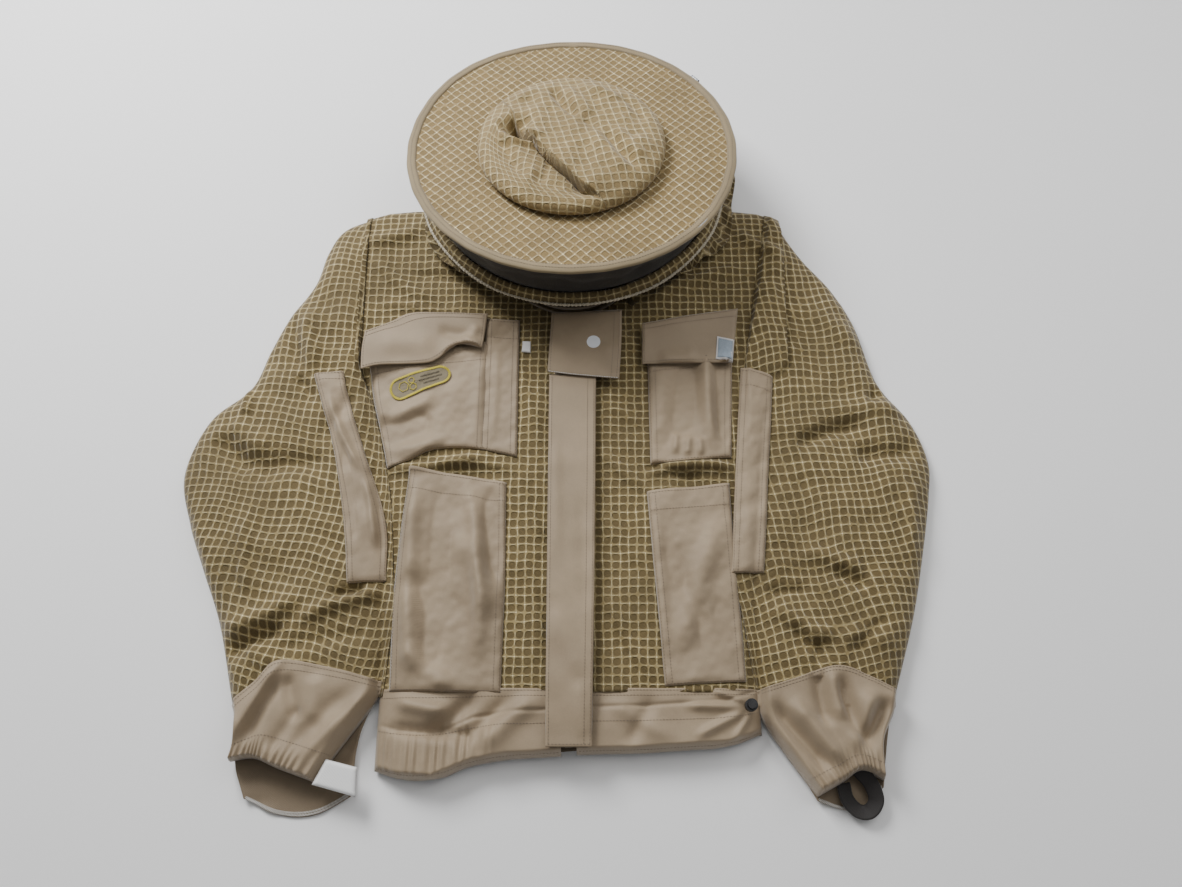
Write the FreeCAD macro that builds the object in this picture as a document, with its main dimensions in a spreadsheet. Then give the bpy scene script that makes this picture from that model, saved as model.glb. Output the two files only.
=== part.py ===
"""Ventilated beekeeping jacket with a zipped-on round-hat veil, laid flat on its back.

Millimetres. The origin is on the underside of the back panel, on the line of the front zip.
+X is the wearer's left-hand side as the jacket lies, +Y points to the hat, +Z points up.
"left" in a name means the -X side and "right" the +X side.
"""
import FreeCAD, Part
import math
import os
import re
import Sketcher

# Driving dimensions. Fabric layers are drawn thicker than cloth, as a lofted garment lies.
SIZES = {
    # layers of the torso, from the floor up
    "cloth": 4.0, "body_inside": 22.0,
    # torso outline: half widths, and the heights up the jacket where they hold
    "hip_half": 206.0, "waist_half": 214.0, "rib_half": 236.0, "chest_half": 262.0,
    "hem_low": -405.0, "band_top": -340.0, "waist_up": -222.0, "rib_up": -90.0, "arm_low": 40.0,
    "shoulder_up": 236.0, "neck_corner": 110.0, "neck_up": 269.0, "zip_gap": 7.0,
    # collar and the ring zip on it
    "neck_up_centre": 186.0, "collar_radius": 80.0, "collar_cloth": 2.5, "collar_top": 42.0,
    "tape_thick": 1.4, "ring_tape_low": 34.0, "ring_tape_top": 51.2, "ring_teeth_low": 43.2,
    "ring_tooth": 1.4, "ring_teeth_wide": 3.0, "ring_slider_turn": 45.0, "ring_slider_wide": 10.0,
    "ring_pull_long": 16.0,
    # sleeves: turning point, round end, and the outline as distances from the zip line
    "arm_pivot": 318.0, "arm_round": 52.0, "arm_clear": 0.8, "sleeve_top": 28.0, "sleeve_gap": 4.0,
    "sleeve_wide": 437.0, "cuff_seam": -343.0, "cuff_low": -452.0, "cuff_inner": 212.0,
    "cuff_outer": 352.0, "cuff_thick": 30.0,
    # long tool pocket on each sleeve
    "tool_wide": 50.0, "tool_long": 234.0, "tool_thick": 7.0, "tool_turn": 10.0,
    "tool_across": 292.0, "tool_up": 14.0,
    # strap on the left cuff, and the loop for the thumb under the right one
    "strap_out": 264.0, "strap_wide": 42.0, "loop_from": 284.0, "loop_wide": 32.0,
    "loop_hangs": 14.0, "loop_cloth": 3.0,
    # front zip
    "zip_top": 88.0, "zip_low": -398.0, "zip_tape_wide": 16.0, "chain_wide": 3.5, "chain_slot": 0.5,
    "chain_thick": 4.0, "slider_long": 15.0, "slider_wide": 12.0, "slider_plate": 1.6,
    "pull_long": 24.0, "pull_wide": 7.0,
    # placket over the zip, and the throat tab over its top
    "placket_left": -26.0, "placket_right": 28.0, "placket_top": 12.0, "placket_low": -372.0,
    "placket_under": 41.0, "flap_thick": 2.0,
    "tab_left": -28.0, "tab_right": 58.0, "tab_low": 13.0, "tab_top": 92.0, "tab_under": 44.6,
    "sticker_radius": 8.0, "sticker_along": 26.0, "sticker_up": 60.0,
    # pockets
    "pouch_thick": 8.0, "pouch_wall": 2.0,
    # hood between the collar and the hat: its plane leans back about the collar's rear edge
    "hood_back": 268.0, "hood_up": 52.0, "hood_lean": 6.0, "hood_cloth": 3.0, "hood_hole": 84.0,
    "hoop_radius": 181.0, "hoop_ahead": 15.0, "hoop_casing": 8.0, "hoop_tall": 6.0, "wire": 1.2,
    "piping": 1.6,
    # hat: centre of the brim, which leans back with the crown on it
    "hat_along": 281.0, "hat_up": 119.0, "hat_lean": 10.1, "brim_radius": 189.0,
    "brim_hole": 93.0, "brim_thick": 4.0, "binding_wide": 7.0, "binding_thick": 7.0,
    "ferrule_across": 156.0, "ferrule_along": 121.0, "ferrule_long": 4.0, "ferrule_wide": 8.0,
    "ferrule_tall": 5.0, "crown_radius": 98.0, "crown_bulge": 112.0, "crown_tall": 46.0, "crown_cloth": 3.0,
    "band_radius": 90.0, "band_tall": 28.0, "veil_cloth": 3.0, "veil_radius": 172.0,
    # waist cord lock
    "lock_along": 190.0, "lock_up": -356.0, "lock_radius": 6.5, "lock_tall": 9.0,
    "button_radius": 4.3, "button_clear": 0.3,
}

document = FreeCAD.newDocument("beekeeping_jacket")
driving = document.addObject("Spreadsheet::Sheet", "driving")
for line, (alias, value) in enumerate(SIZES.items(), start=1):
    driving.set(f"A{line}", alias)
    driving.set(f"B{line}", str(value))
    driving.setAlias(f"B{line}", alias)
document.recompute()

ALIASES = re.compile(r"\b(" + "|".join(sorted(SIZES, key=len, reverse=True)) + r")\b")
SIDES = (("left", -1), ("right", 1))
nodes = {}


def formula(text):
    """Turns a formula of aliases into an expression on the sheet."""
    return ALIASES.sub(r"driving.\1", str(text))


def bind(thing, target, text):
    thing.setExpression(target, formula(text))


def place(thing, x=0, y=0, z=0):
    bind(thing, "Placement.Base.x", x)
    bind(thing, "Placement.Base.y", y)
    bind(thing, "Placement.Base.z", z)


def keep(thing, name):
    """Marks an object as a finished piece of the jacket, written under this name."""
    thing.Label = name
    nodes[name] = thing
    return thing


def block(x_span, y_span, z_span):
    """Box between two formulas on each axis."""
    box = document.addObject("Part::Box", "block")
    for side, span in (("Length", x_span), ("Width", y_span), ("Height", z_span)):
        bind(box, side, f"({span[1]}) - ({span[0]})")
    place(box, x_span[0], y_span[0], z_span[0])
    return box


def disc(radius, low, high, x=0, y=0):
    """Upright cylinder."""
    cylinder = document.addObject("Part::Cylinder", "disc")
    bind(cylinder, "Radius", radius)
    bind(cylinder, "Height", f"({high}) - ({low})")
    place(cylinder, x, y, low)
    return cylinder


def cut(base, tool):
    result = document.addObject("Part::Cut", "cut")
    result.Base = base
    result.Tool = tool
    return result


def fuse(*pieces):
    result = document.addObject("Part::MultiFuse", "fuse")
    result.Shapes = list(pieces)
    return result


def group(*pieces):
    """Separate solids that share one name."""
    result = document.addObject("Part::Compound", "group")
    result.Links = list(pieces)
    return result


def ring(outer, inner, low, high, x=0, y=0):
    """Upright tube."""
    return cut(disc(outer, low, high, x, y), disc(inner, f"({low}) - 1", f"({high}) + 1", x, y))


def sheet_of(corners, low, high, side=1):
    """Flat solid over a closed outline, each corner held by two bound dimensions."""
    body = document.addObject("PartDesign::Body", "panel")
    plane = [item for item in body.Origin.OriginFeatures if item.Role == "XY_Plane"][0]
    sketch = body.newObject("Sketcher::SketchObject", "outline")
    sketch.AttachmentSupport = [(plane, "")]
    sketch.MapMode = "FlatFace"
    count = len(corners)
    start = [FreeCAD.Vector(300 * math.cos(side * math.tau * k / count),
                            300 * math.sin(side * math.tau * k / count), 0) for k in range(count)]
    for k in range(count):
        sketch.addGeometry(Part.LineSegment(start[k], start[(k + 1) % count]), False)
    for k in range(count):
        sketch.addConstraint(Sketcher.Constraint("Coincident", k, 2, (k + 1) % count, 1))
    for k, (across, along) in enumerate(corners):
        for kind, value, text in (("DistanceX", start[k].x, f"{side} * ({across})"),
                                  ("DistanceY", start[k].y, along)):
            index = sketch.addConstraint(Sketcher.Constraint(kind, -1, 1, k, 1, value))
            bind(sketch, f"Constraints[{index}]", text)
    pad = body.newObject("PartDesign::Pad", "pad")
    pad.Profile = sketch
    bind(pad, "Length", f"({high}) - ({low})")
    bind(body, "Placement.Base.z", low)
    return body


def lean(piece, degrees, x=0, y=0, z=0):
    """Tilts a piece drawn flat at the origin back about X, then moves it to its place."""
    piece.Placement = FreeCAD.Placement(FreeCAD.Vector(), FreeCAD.Rotation(FreeCAD.Vector(1, 0, 0), 0))
    bind(piece, "Placement.Rotation.Angle", f"-1 * ({degrees})")
    place(piece, x, y, z)
    return piece


def on_hat(piece):
    return lean(piece, "hat_lean", 0, "hat_along", "hat_up")


def on_hood(piece):
    return lean(piece, "hood_lean", 0, "hood_back", "hood_up")


# ---- heights used all over the torso -------------------------------------------------------
FRONT_LOW = "cloth + body_inside"
FRONT_TOP = "2 * cloth + body_inside"
PANEL_SIDE = [("hip_half", "band_top"), ("waist_half", "waist_up"), ("rib_half", "rib_up"),
              ("chest_half", "arm_low")]


def neck_hole(low, high):
    return disc("collar_radius + collar_cloth + 0.5", low, high, 0, "neck_up_centre")


# ---- torso ---------------------------------------------------------------------------------
mirrored_side = [(f"-1 * ({x})", y) for x, y in reversed(PANEL_SIDE)]
back_outline = (PANEL_SIDE + [("chest_half", "shoulder_up"), ("neck_corner", "neck_up")]
                + [("-1 * neck_corner", "neck_up"), ("-1 * chest_half", "shoulder_up")]
                + mirrored_side)
keep(sheet_of(back_outline, "0", "cloth"), "back_panel")

for name, side in SIDES:
    panel = ([("zip_gap", "band_top")] + PANEL_SIDE
             + [("chest_half", "shoulder_up"), ("neck_corner", "neck_up"), ("zip_gap", "neck_up")])
    flat_front = sheet_of(panel, FRONT_LOW, FRONT_TOP, side)
    shoulder_seam = sheet_of([("chest_half", "shoulder_up - 4"), ("chest_half", "shoulder_up"),
                              ("neck_corner", "neck_up"), ("neck_corner", "neck_up - 4")],
                             "cloth", FRONT_LOW, side)
    keep(cut(fuse(flat_front, shoulder_seam), neck_hole("0", "collar_top")), f"{name}_front_panel")

    inner_side = [(f"{x} - cloth", y) for x, y in reversed(PANEL_SIDE)]
    keep(sheet_of(PANEL_SIDE + inner_side, "cloth", FRONT_LOW, side), f"{name}_side_panel")

# Waistband: a back strip, and two front strips that carry the side walls.
keep(block(("-1 * hip_half", "hip_half"), ("hem_low", "band_top"), ("0", "cloth + 1")),
     "waistband_back")
keep(block(("-0.9 * hip_half", "0.9 * hip_half"), ("hem_low + 10", "hem_low + 50"),
           ("cloth + 1", "cloth + 3")), "waist_elastic")
for name, side in SIDES:
    strip = sheet_of([("zip_gap", "hem_low"), ("hip_half", "hem_low"),
                      ("hip_half", "band_top"), ("zip_gap", "band_top")],
                     f"{FRONT_LOW} - 1", FRONT_TOP, side)
    wall = sheet_of([("hip_half - cloth", "hem_low"), ("hip_half", "hem_low"),
                     ("hip_half", "band_top"), ("hip_half - cloth", "band_top")],
                    "cloth + 1", f"{FRONT_LOW} - 1", side)
    keep(fuse(strip, wall), f"{name}_waistband")

# Cord lock on the waistband: a cup, and a sprung button that slides in it.
lock_foot = f"{FRONT_TOP}"
cup = disc("lock_radius", lock_foot, f"{lock_foot} + lock_tall", "lock_along", "lock_up")
bore = disc("button_radius + button_clear", f"{lock_foot} + 3", f"{lock_foot} + lock_tall + 1",
            "lock_along", "lock_up")
keep(cut(cup, bore), "cord_lock_cup")
keep(disc("button_radius", f"{lock_foot} + 6.2", f"{lock_foot} + lock_tall + 4",
          "lock_along", "lock_up"), "cord_lock_button")

# ---- collar and its half of the ring zip ---------------------------------------------------
keep(ring("collar_radius + collar_cloth", "collar_radius", "cloth", "collar_top", 0,
          "neck_up_centre"), "collar_band")
TAPE_IN = "collar_radius + collar_cloth + 0.1"
TAPE_OUT = f"{TAPE_IN} + tape_thick"
TEETH_OUT = f"{TAPE_IN} + ring_teeth_wide"
keep(ring(TAPE_OUT, TAPE_IN, "ring_tape_low", "ring_teeth_low - 0.2", 0, "neck_up_centre"),
     "collar_zip_tape")
keep(ring(TEETH_OUT, TAPE_IN, "ring_teeth_low - 0.2", "ring_teeth_low + ring_tooth", 0,
          "neck_up_centre"), "collar_zip_teeth")
HOOD_TEETH = "ring_teeth_low + ring_tooth + 0.4"
keep(ring(TEETH_OUT, TAPE_IN, HOOD_TEETH, f"{HOOD_TEETH} + ring_tooth", 0, "neck_up_centre"),
     "hood_zip_teeth")
keep(ring(TAPE_OUT, TAPE_IN, f"{HOOD_TEETH} + ring_tooth", "ring_tape_top", 0,
          "neck_up_centre"), "hood_zip_tape")


def round_the_neck(low_radius, high_radius, half_wide, low, high):
    """Box standing off the collar, turned to the ring slider's resting place."""
    box = document.addObject("Part::Box", "block")
    bind(box, "Length", f"2 * ({half_wide})")
    bind(box, "Width", f"({high_radius}) - ({low_radius})")
    bind(box, "Height", f"({high}) - ({low})")
    box.Placement = FreeCAD.Placement(FreeCAD.Vector(), FreeCAD.Rotation(FreeCAD.Vector(0, 0, 1), 1))
    turn = "ring_slider_turn"
    bind(box, "Placement.Rotation.Angle", turn)
    out = f"({high_radius})"
    place(box, f"{out} * sin({turn} * 1deg) - ({half_wide}) * cos({turn} * 1deg)",
          f"neck_up_centre - {out} * cos({turn} * 1deg) - ({half_wide}) * sin({turn} * 1deg)", low)
    return box


SLIDER_FACE = f"{TEETH_OUT} + 3.5"
keep(round_the_neck(f"{TEETH_OUT} + 0.5", SLIDER_FACE, "0.5 * ring_slider_wide", "ring_teeth_low - 3.2",
                    "ring_teeth_low + 5.8"), "ring_slider")
keep(round_the_neck(f"{SLIDER_FACE} + 0.5", f"{SLIDER_FACE} + 0.5 + ring_pull_long", "0.5 * pull_wide",
                    "ring_teeth_low - 1.2", "ring_teeth_low + 0.8"), "ring_pull")

# ---- front zip -----------------------------------------------------------------------------
tapes = []
chains = []
for name, side in SIDES:
    tapes.append(sheet_of([("4", "zip_low"), ("4 + zip_tape_wide", "zip_low"),
                           ("4 + zip_tape_wide", "zip_top"), ("4", "zip_top")],
                          FRONT_TOP, f"{FRONT_TOP} + tape_thick", side))
    chains.append(sheet_of([("chain_slot", "zip_low + 8"), ("chain_slot + chain_wide", "zip_low + 8"),
                            ("chain_slot + chain_wide", "zip_top - 2"), ("chain_slot", "zip_top - 2")],
                           FRONT_TOP, f"{FRONT_TOP} + chain_thick", side))
keep(group(*tapes), "front_zip_tapes")
keep(group(*chains), "front_zip_chains")
keep(block(("-3.8", "3.8"), ("zip_low", "zip_low + 7.6"), (FRONT_TOP, f"{FRONT_TOP} + chain_thick")),
     "front_zip_end_box")

SLIDER_Y = ("zip_top - slider_long - 2", "zip_top - 2")
SLIDER_X = ("-0.5 * slider_wide", "0.5 * slider_wide")
CHAIN_TOP = f"{FRONT_TOP} + chain_thick"
lower_plate = block(SLIDER_X, SLIDER_Y, (f"{FRONT_TOP} - 0.4 - slider_plate", f"{FRONT_TOP} - 0.4"))
upper_plate = block(SLIDER_X, SLIDER_Y, (f"{CHAIN_TOP} + 0.4", f"{CHAIN_TOP} + 0.4 + slider_plate"))
bridge = block(("-0.3", "0.3"), SLIDER_Y, (f"{FRONT_TOP} - 1", f"{CHAIN_TOP} + 1"))
keep(fuse(lower_plate, upper_plate, bridge), "front_slider")
PULL_LOW = f"{CHAIN_TOP} + 0.8 + slider_plate"
keep(block(("-0.5 * pull_wide", "0.5 * pull_wide"), ("zip_top - 8 - pull_long", "zip_top - 8"),
           (PULL_LOW, f"{PULL_LOW} + 1.6")), "front_pull")

# ---- placket and throat tab ----------------------------------------------------------------
keep(block(("placket_left", "placket_right"), ("placket_low", "placket_top"),
           ("placket_under", "placket_under + flap_thick")), "placket")
keep(block(("placket_right + 1", "placket_right + 3"), ("placket_low", "placket_top"),
           (FRONT_TOP, "placket_under")), "placket_seam")
keep(block(("tab_left", "tab_right"), ("tab_low", "tab_top"),
           ("tab_under", "tab_under + flap_thick")), "throat_tab")
keep(disc("sticker_radius", "tab_under + flap_thick", "tab_under + flap_thick + 0.6",
          "sticker_along", "sticker_up"), "blank_sticker")

# ---- pockets on the front ------------------------------------------------------------------
PATCH_TOP = f"{FRONT_TOP} + pouch_thick"


def pouch(x_span, y_span):
    """Patch pocket open at its top edge, with a hollow deep enough for a hand or a tool."""
    shell = block(x_span, y_span, (FRONT_TOP, PATCH_TOP))
    hollow = block((f"{x_span[0]} + pouch_wall", f"{x_span[1]} - pouch_wall"),
                   (f"{y_span[0]} + pouch_wall", f"{y_span[1]} + 1"),
                   (f"{FRONT_TOP} - 1", f"{PATCH_TOP} - pouch_wall"))
    return cut(shell, hollow)


# Where each pocket is sewn: from and to across the jacket, then from and to along it.
POUCH_SPANS = {
    "left_chest_pocket": (("-222", "-98"), ("-82", "66")),
    "right_chest_pocket": (("90", "190"), ("-84", "72")),
    "pen_pocket": (("-97", "-62"), ("-76", "88")),
    "left_lower_pocket": (("-192", "-72"), ("-335", "-94")),
    "right_lower_pocket": (("86", "182"), ("-333", "-112")),
}
for name, (x_span, y_span) in POUCH_SPANS.items():
    keep(pouch(x_span, y_span), name)

FLAP_LOW = f"{PATCH_TOP} + 3"
FLAP_SPANS = {"left": (("-246", "-99"), ("28", "90")), "right": (("83", "192"), ("34", "97"))}
hook_pads = []
for name, (x_span, y_span) in FLAP_SPANS.items():
    keep(block(x_span, y_span, (FLAP_LOW, f"{FLAP_LOW} + flap_thick")), f"{name}_chest_flap")
    hook_pads.append(block((f"{x_span[0]} + 35", f"{x_span[1]} - 30"),
                           (f"{y_span[0]} + 6", f"{y_span[0]} + 26"), (PATCH_TOP, f"{PATCH_TOP} + 1")))
keep(group(*hook_pads), "flap_hook_pads")
FLAP_TOP = f"{FLAP_LOW} + flap_thick"
keep(block(("171", "190"), ("38", "66"), (FLAP_TOP, f"{FLAP_TOP} + 0.8")), "woven_label")
keep(block(("-214", "-146"), ("-14", "24"), (PATCH_TOP, f"{PATCH_TOP} + 1")), "badge")
keep(block(("-60", "-50"), ("54", "68"), (FRONT_TOP, f"{FRONT_TOP} + 1.2")), "size_label")

# ---- sleeves -------------------------------------------------------------------------------
SLEEVE_INNER = [("rib_half + sleeve_gap", "rib_up"), ("waist_half + sleeve_gap + 1", "waist_up"),
                ("hip_half + sleeve_gap", "cuff_seam")]
SLEEVE_OUTER = [("cuff_outer + 6", "cuff_seam"), ("sleeve_wide - 51", "-263"),
                ("sleeve_wide - 24", "-202"), ("sleeve_wide", "-110"), ("sleeve_wide - 2", "-80"),
                ("sleeve_wide - 12", "-50"), ("sleeve_wide - 42", "-5"), ("arm_pivot + 46", "26")]
HEAD_OUTER = [("arm_pivot - 22", "shoulder_up - 2"), ("arm_pivot + 4", "155"),
              ("arm_pivot + 33", "99"), ("arm_pivot + 47", "58")]

for name, side in SIDES:
    pivot = f"{side} * arm_pivot"
    top_round = disc("arm_round", "0", "sleeve_top", pivot, "arm_low")
    shape = sheet_of([("arm_pivot - arm_round", "arm_low")] + SLEEVE_INNER + SLEEVE_OUTER
                     + [("arm_pivot", "arm_low")], "0", "sleeve_top", side)
    inner_round = disc("arm_round - cloth", "cloth", "sleeve_top - cloth", pivot, "arm_low")
    inner_shape = sheet_of(
        [("arm_pivot - arm_round + cloth", "arm_low"), ("rib_half + sleeve_gap + cloth", "rib_up"),
         ("waist_half + 2 * cloth + 1", "waist_up"), ("hip_half + 2 * cloth", "cuff_seam"),
         ("hip_half + 2 * cloth", "cuff_seam - 5"), ("cuff_outer + 1", "cuff_seam - 5"),
         ("cuff_outer + 1", "cuff_seam"), ("sleeve_wide - 56", "-263"), ("sleeve_wide - 29", "-202"),
         ("sleeve_wide - 5", "-110"), ("sleeve_wide - 17", "-53"), ("sleeve_wide - 46", "-9"),
         ("arm_pivot + 42", "24"), ("arm_pivot + 42", "arm_low"), ("arm_pivot + 34", "110"),
         ("arm_pivot - 34", "110"), ("arm_pivot - 46", "arm_low + 10")],
        "cloth", "sleeve_top - cloth", side)
    keep(cut(fuse(shape, top_round), fuse(inner_round, inner_shape)), f"{name}_sleeve")

    head = sheet_of([("chest_half + 0.4", "arm_low + 12"), ("chest_half + 0.4", "shoulder_up")]
                    + HEAD_OUTER, "0", FRONT_TOP, side)
    head_hollow = sheet_of([("chest_half - 20", "arm_low - 8"), ("chest_half - 20", "shoulder_up - 8"),
                            ("arm_pivot - 27", "shoulder_up - 12"), ("arm_pivot - 2", "152"),
                            ("arm_pivot + 28", "97"), ("arm_pivot + 42", "56"),
                            ("arm_pivot + 42", "arm_low - 8")], "cloth", FRONT_LOW, side)
    clearance = disc("arm_round + arm_clear", "-1", f"{FRONT_TOP} + 1", pivot, "arm_low")
    keep(cut(cut(head, head_hollow), clearance), f"{name}_sleeve_head")

    cuff = sheet_of([("cuff_inner", "cuff_seam - 0.4"), ("cuff_outer", "cuff_seam - 0.4"),
                     ("cuff_outer - 4", "cuff_low + 32"), ("cuff_outer - 14", "cuff_low"),
                     ("cuff_inner + 18", "cuff_low"), ("cuff_inner + 10", "cuff_low + 32")],
                    "0", "cuff_thick", side)
    cuff_hollow = sheet_of([("cuff_inner + 5", "cuff_seam + 1"), ("cuff_outer - 5", "cuff_seam + 1"),
                            ("cuff_outer - 9", "cuff_low + 32"), ("cuff_outer - 19", "cuff_low - 1"),
                            ("cuff_inner + 23", "cuff_low - 1"), ("cuff_inner + 15", "cuff_low + 32")],
                           "cloth", "cuff_thick - cloth", side)
    keep(cut(cuff, cuff_hollow), f"{name}_cuff")

    # Tool pocket, drawn upright at the origin, then turned to lie along the sleeve's inner edge.
    tool_shell = block(("-0.5 * tool_wide", "0.5 * tool_wide"), ("-1 * tool_long", "0"),
                       ("0", "tool_thick"))
    tool_hollow = block(("pouch_wall - 0.5 * tool_wide", "0.5 * tool_wide - pouch_wall"),
                        ("pouch_wall - tool_long", "1"), ("-1", "tool_thick - 1.6"))
    tool = cut(tool_shell, tool_hollow)
    tool.Placement = FreeCAD.Placement(FreeCAD.Vector(), FreeCAD.Rotation(FreeCAD.Vector(0, 0, 1), 1))
    bind(tool, "Placement.Rotation.Angle", f"{-side} * tool_turn")
    place(tool, f"{side} * tool_across", "tool_up", "sleeve_top")
    keep(tool, f"{name}_tool_pocket")

keep(block(("-1 * strap_out", "strap_wide - strap_out"), ("cuff_low + 6", "cuff_low + 44"),
           ("cuff_thick", "cuff_thick + 1.6")), "left_wrist_strap")
loop_outer = block(("loop_from", "loop_from + loop_wide"), ("cuff_low - loop_hangs", "cuff_low"),
                   ("2", "2 + loop_hangs"))
loop_inner = block(("loop_from - 4", "loop_from + loop_wide + 4"),
                   ("cuff_low - loop_hangs + loop_cloth", "cuff_low + 1"),
                   ("2 + loop_cloth", "2 + loop_hangs - loop_cloth"))
keep(cut(loop_outer, loop_inner), "right_thumb_loop")

# ---- hood: neck cloth, hoop in its casing, piping, and the black veil up to the brim --------
neck_cloth = cut(disc("hoop_radius + 4", "0", "hood_cloth", 0, "hoop_ahead"),
                 disc("hood_hole", "-1", "hood_cloth + 1", 0, "neck_up_centre - hood_back"))
keep(on_hood(neck_cloth), "hood_neck_cloth")


def torus(radius, thick, y, z):
    """Round bar bent to a full circle."""
    hoop = document.addObject("Part::Torus", "torus")
    bind(hoop, "Radius1", radius)
    bind(hoop, "Radius2", thick)
    place(hoop, 0, y, z)
    return hoop


HOOP_LOW = "hood_cloth + 0.2"
HOOP_MID = f"{HOOP_LOW} + 0.5 * hoop_tall"
casing = ring("hoop_radius + 0.5 * hoop_casing", "hoop_radius - 0.5 * hoop_casing", HOOP_LOW,
              f"{HOOP_LOW} + hoop_tall", 0, "hoop_ahead")
keep(on_hood(cut(casing, torus("hoop_radius", "wire + 0.5", "hoop_ahead", HOOP_MID))),
     "hoop_casing")
keep(on_hood(group(torus("hoop_radius", "wire", "hoop_ahead", HOOP_MID))), "veil_hoop_wire")
keep(on_hood(group(torus("hoop_radius + 0.5 * hoop_casing + piping + 0.1", "piping", "hoop_ahead",
                        HOOP_MID))), "hoop_piping")


def circle_on(frame, radius, y, z):
    """Circle drawn in the hood's or the hat's own leaning frame."""
    circle = document.addObject("Part::Circle", "circle")
    bind(circle, "Radius", radius)
    angle, base_y, base_z = frame
    circle.Placement = FreeCAD.Placement(FreeCAD.Vector(), FreeCAD.Rotation(FreeCAD.Vector(1, 0, 0), 1))
    bind(circle, "Placement.Rotation.Angle", f"-1 * {angle}")
    tilt = f"{angle} * 1deg"
    place(circle, 0, f"{base_y} + ({y}) * cos({tilt}) + ({z}) * sin({tilt})",
          f"{base_z} - ({y}) * sin({tilt}) + ({z}) * cos({tilt})")
    return circle


HOOD_FRAME = ("hood_lean", "hood_back", "hood_up")
HAT_FRAME = ("hat_lean", "hat_along", "hat_up")


def veil_wall(inset, over):
    """Solid between the hoop and the underside of the brim."""
    loft = document.addObject("Part::Loft", "veil")
    loft.Sections = [circle_on(HOOD_FRAME, f"veil_radius + 4 - {inset}", "hoop_ahead",
                               f"{HOOP_LOW} + hoop_tall + 0.2 - {over}"),
                     circle_on(HAT_FRAME, f"veil_radius - {inset}", "0",
                               f"-0.5 * brim_thick - 0.8 + {over}")]
    loft.Solid = True
    loft.Ruled = True
    return loft


keep(cut(veil_wall("0", "0"), veil_wall("veil_cloth", "1")), "veil_mesh")

# ---- hat -----------------------------------------------------------------------------------
keep(on_hat(ring("brim_radius", "brim_hole", "-0.5 * brim_thick", "0.5 * brim_thick")), "hat_brim")
binding = ring("brim_radius + 0.2 + binding_wide", "brim_radius + 0.2", "-0.5 * binding_thick",
               "0.5 * binding_thick")
WIRE_RADIUS = "brim_radius + 0.5 * binding_wide"
keep(on_hat(cut(binding, torus(WIRE_RADIUS, "wire + 0.4", "0", "0"))), "brim_binding")
keep(on_hat(group(torus(WIRE_RADIUS, "wire", "0", "0"))), "brim_wire")
ferrule = block(("ferrule_across", "ferrule_across + ferrule_long"),
                ("ferrule_along", "ferrule_along + ferrule_wide"),
                ("-0.5 * ferrule_tall", "0.5 * ferrule_tall"))
keep(on_hat(group(ferrule)), "wire_ferrule")
keep(on_hat(ring("band_radius + 2", "band_radius", "-0.5 * band_tall", "0.5 * band_tall")),
     "sweatband")


def crown_solid(inset, foot):
    """Stack of cones with the collapsed crown's outline, drawn in by the inset."""
    levels = [(f"crown_radius - {inset}", foot), (f"crown_bulge - {inset}", "14"),
              (f"crown_bulge - 8 - {inset}", f"32 - 0.5 * {inset}"),
              (f"0.54 * crown_bulge - {inset}", f"crown_tall - 3 - {inset}"),
              ("2", f"crown_tall - {inset}")]
    cones = []
    for (low_radius, low), (high_radius, high) in zip(levels, levels[1:]):
        cone = document.addObject("Part::Cone", "cone")
        bind(cone, "Radius1", low_radius)
        bind(cone, "Radius2", high_radius)
        bind(cone, "Height", f"({high}) - ({low})")
        place(cone, 0, 0, low)
        cones.append(cone)
    return fuse(*cones)


CROWN_FOOT = "0.5 * brim_thick + 0.2"
keep(on_hat(cut(crown_solid("0", CROWN_FOOT), crown_solid("crown_cloth", f"({CROWN_FOOT}) - 0.1"))),
     "hat_crown")

# ---- build, check and write ----------------------------------------------------------------
document.recompute()
for thing in document.Objects:
    if {"Invalid", "Error"} & set(thing.State):
        raise RuntimeError(f"{thing.Label} ({thing.Name}) failed: {thing.State}")

os.makedirs("parts", exist_ok=True)
for name, thing in nodes.items():
    shape = thing.Shape
    if shape.isNull() or not shape.isValid() or shape.Volume <= 0:
        raise RuntimeError(f"{name} has no valid shape")
    box = shape.BoundBox
    print(f"{name:22s} solids {len(shape.Solids)} volume {shape.Volume / 1000:9.2f} cm3  "
          f"x {box.XMin:7.1f} {box.XMax:7.1f}  y {box.YMin:7.1f} {box.YMax:7.1f}  "
          f"z {box.ZMin:6.1f} {box.ZMax:6.1f}")
    shape.exportStep(f"parts/{name}.step")
print(len(nodes), "pieces")
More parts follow.
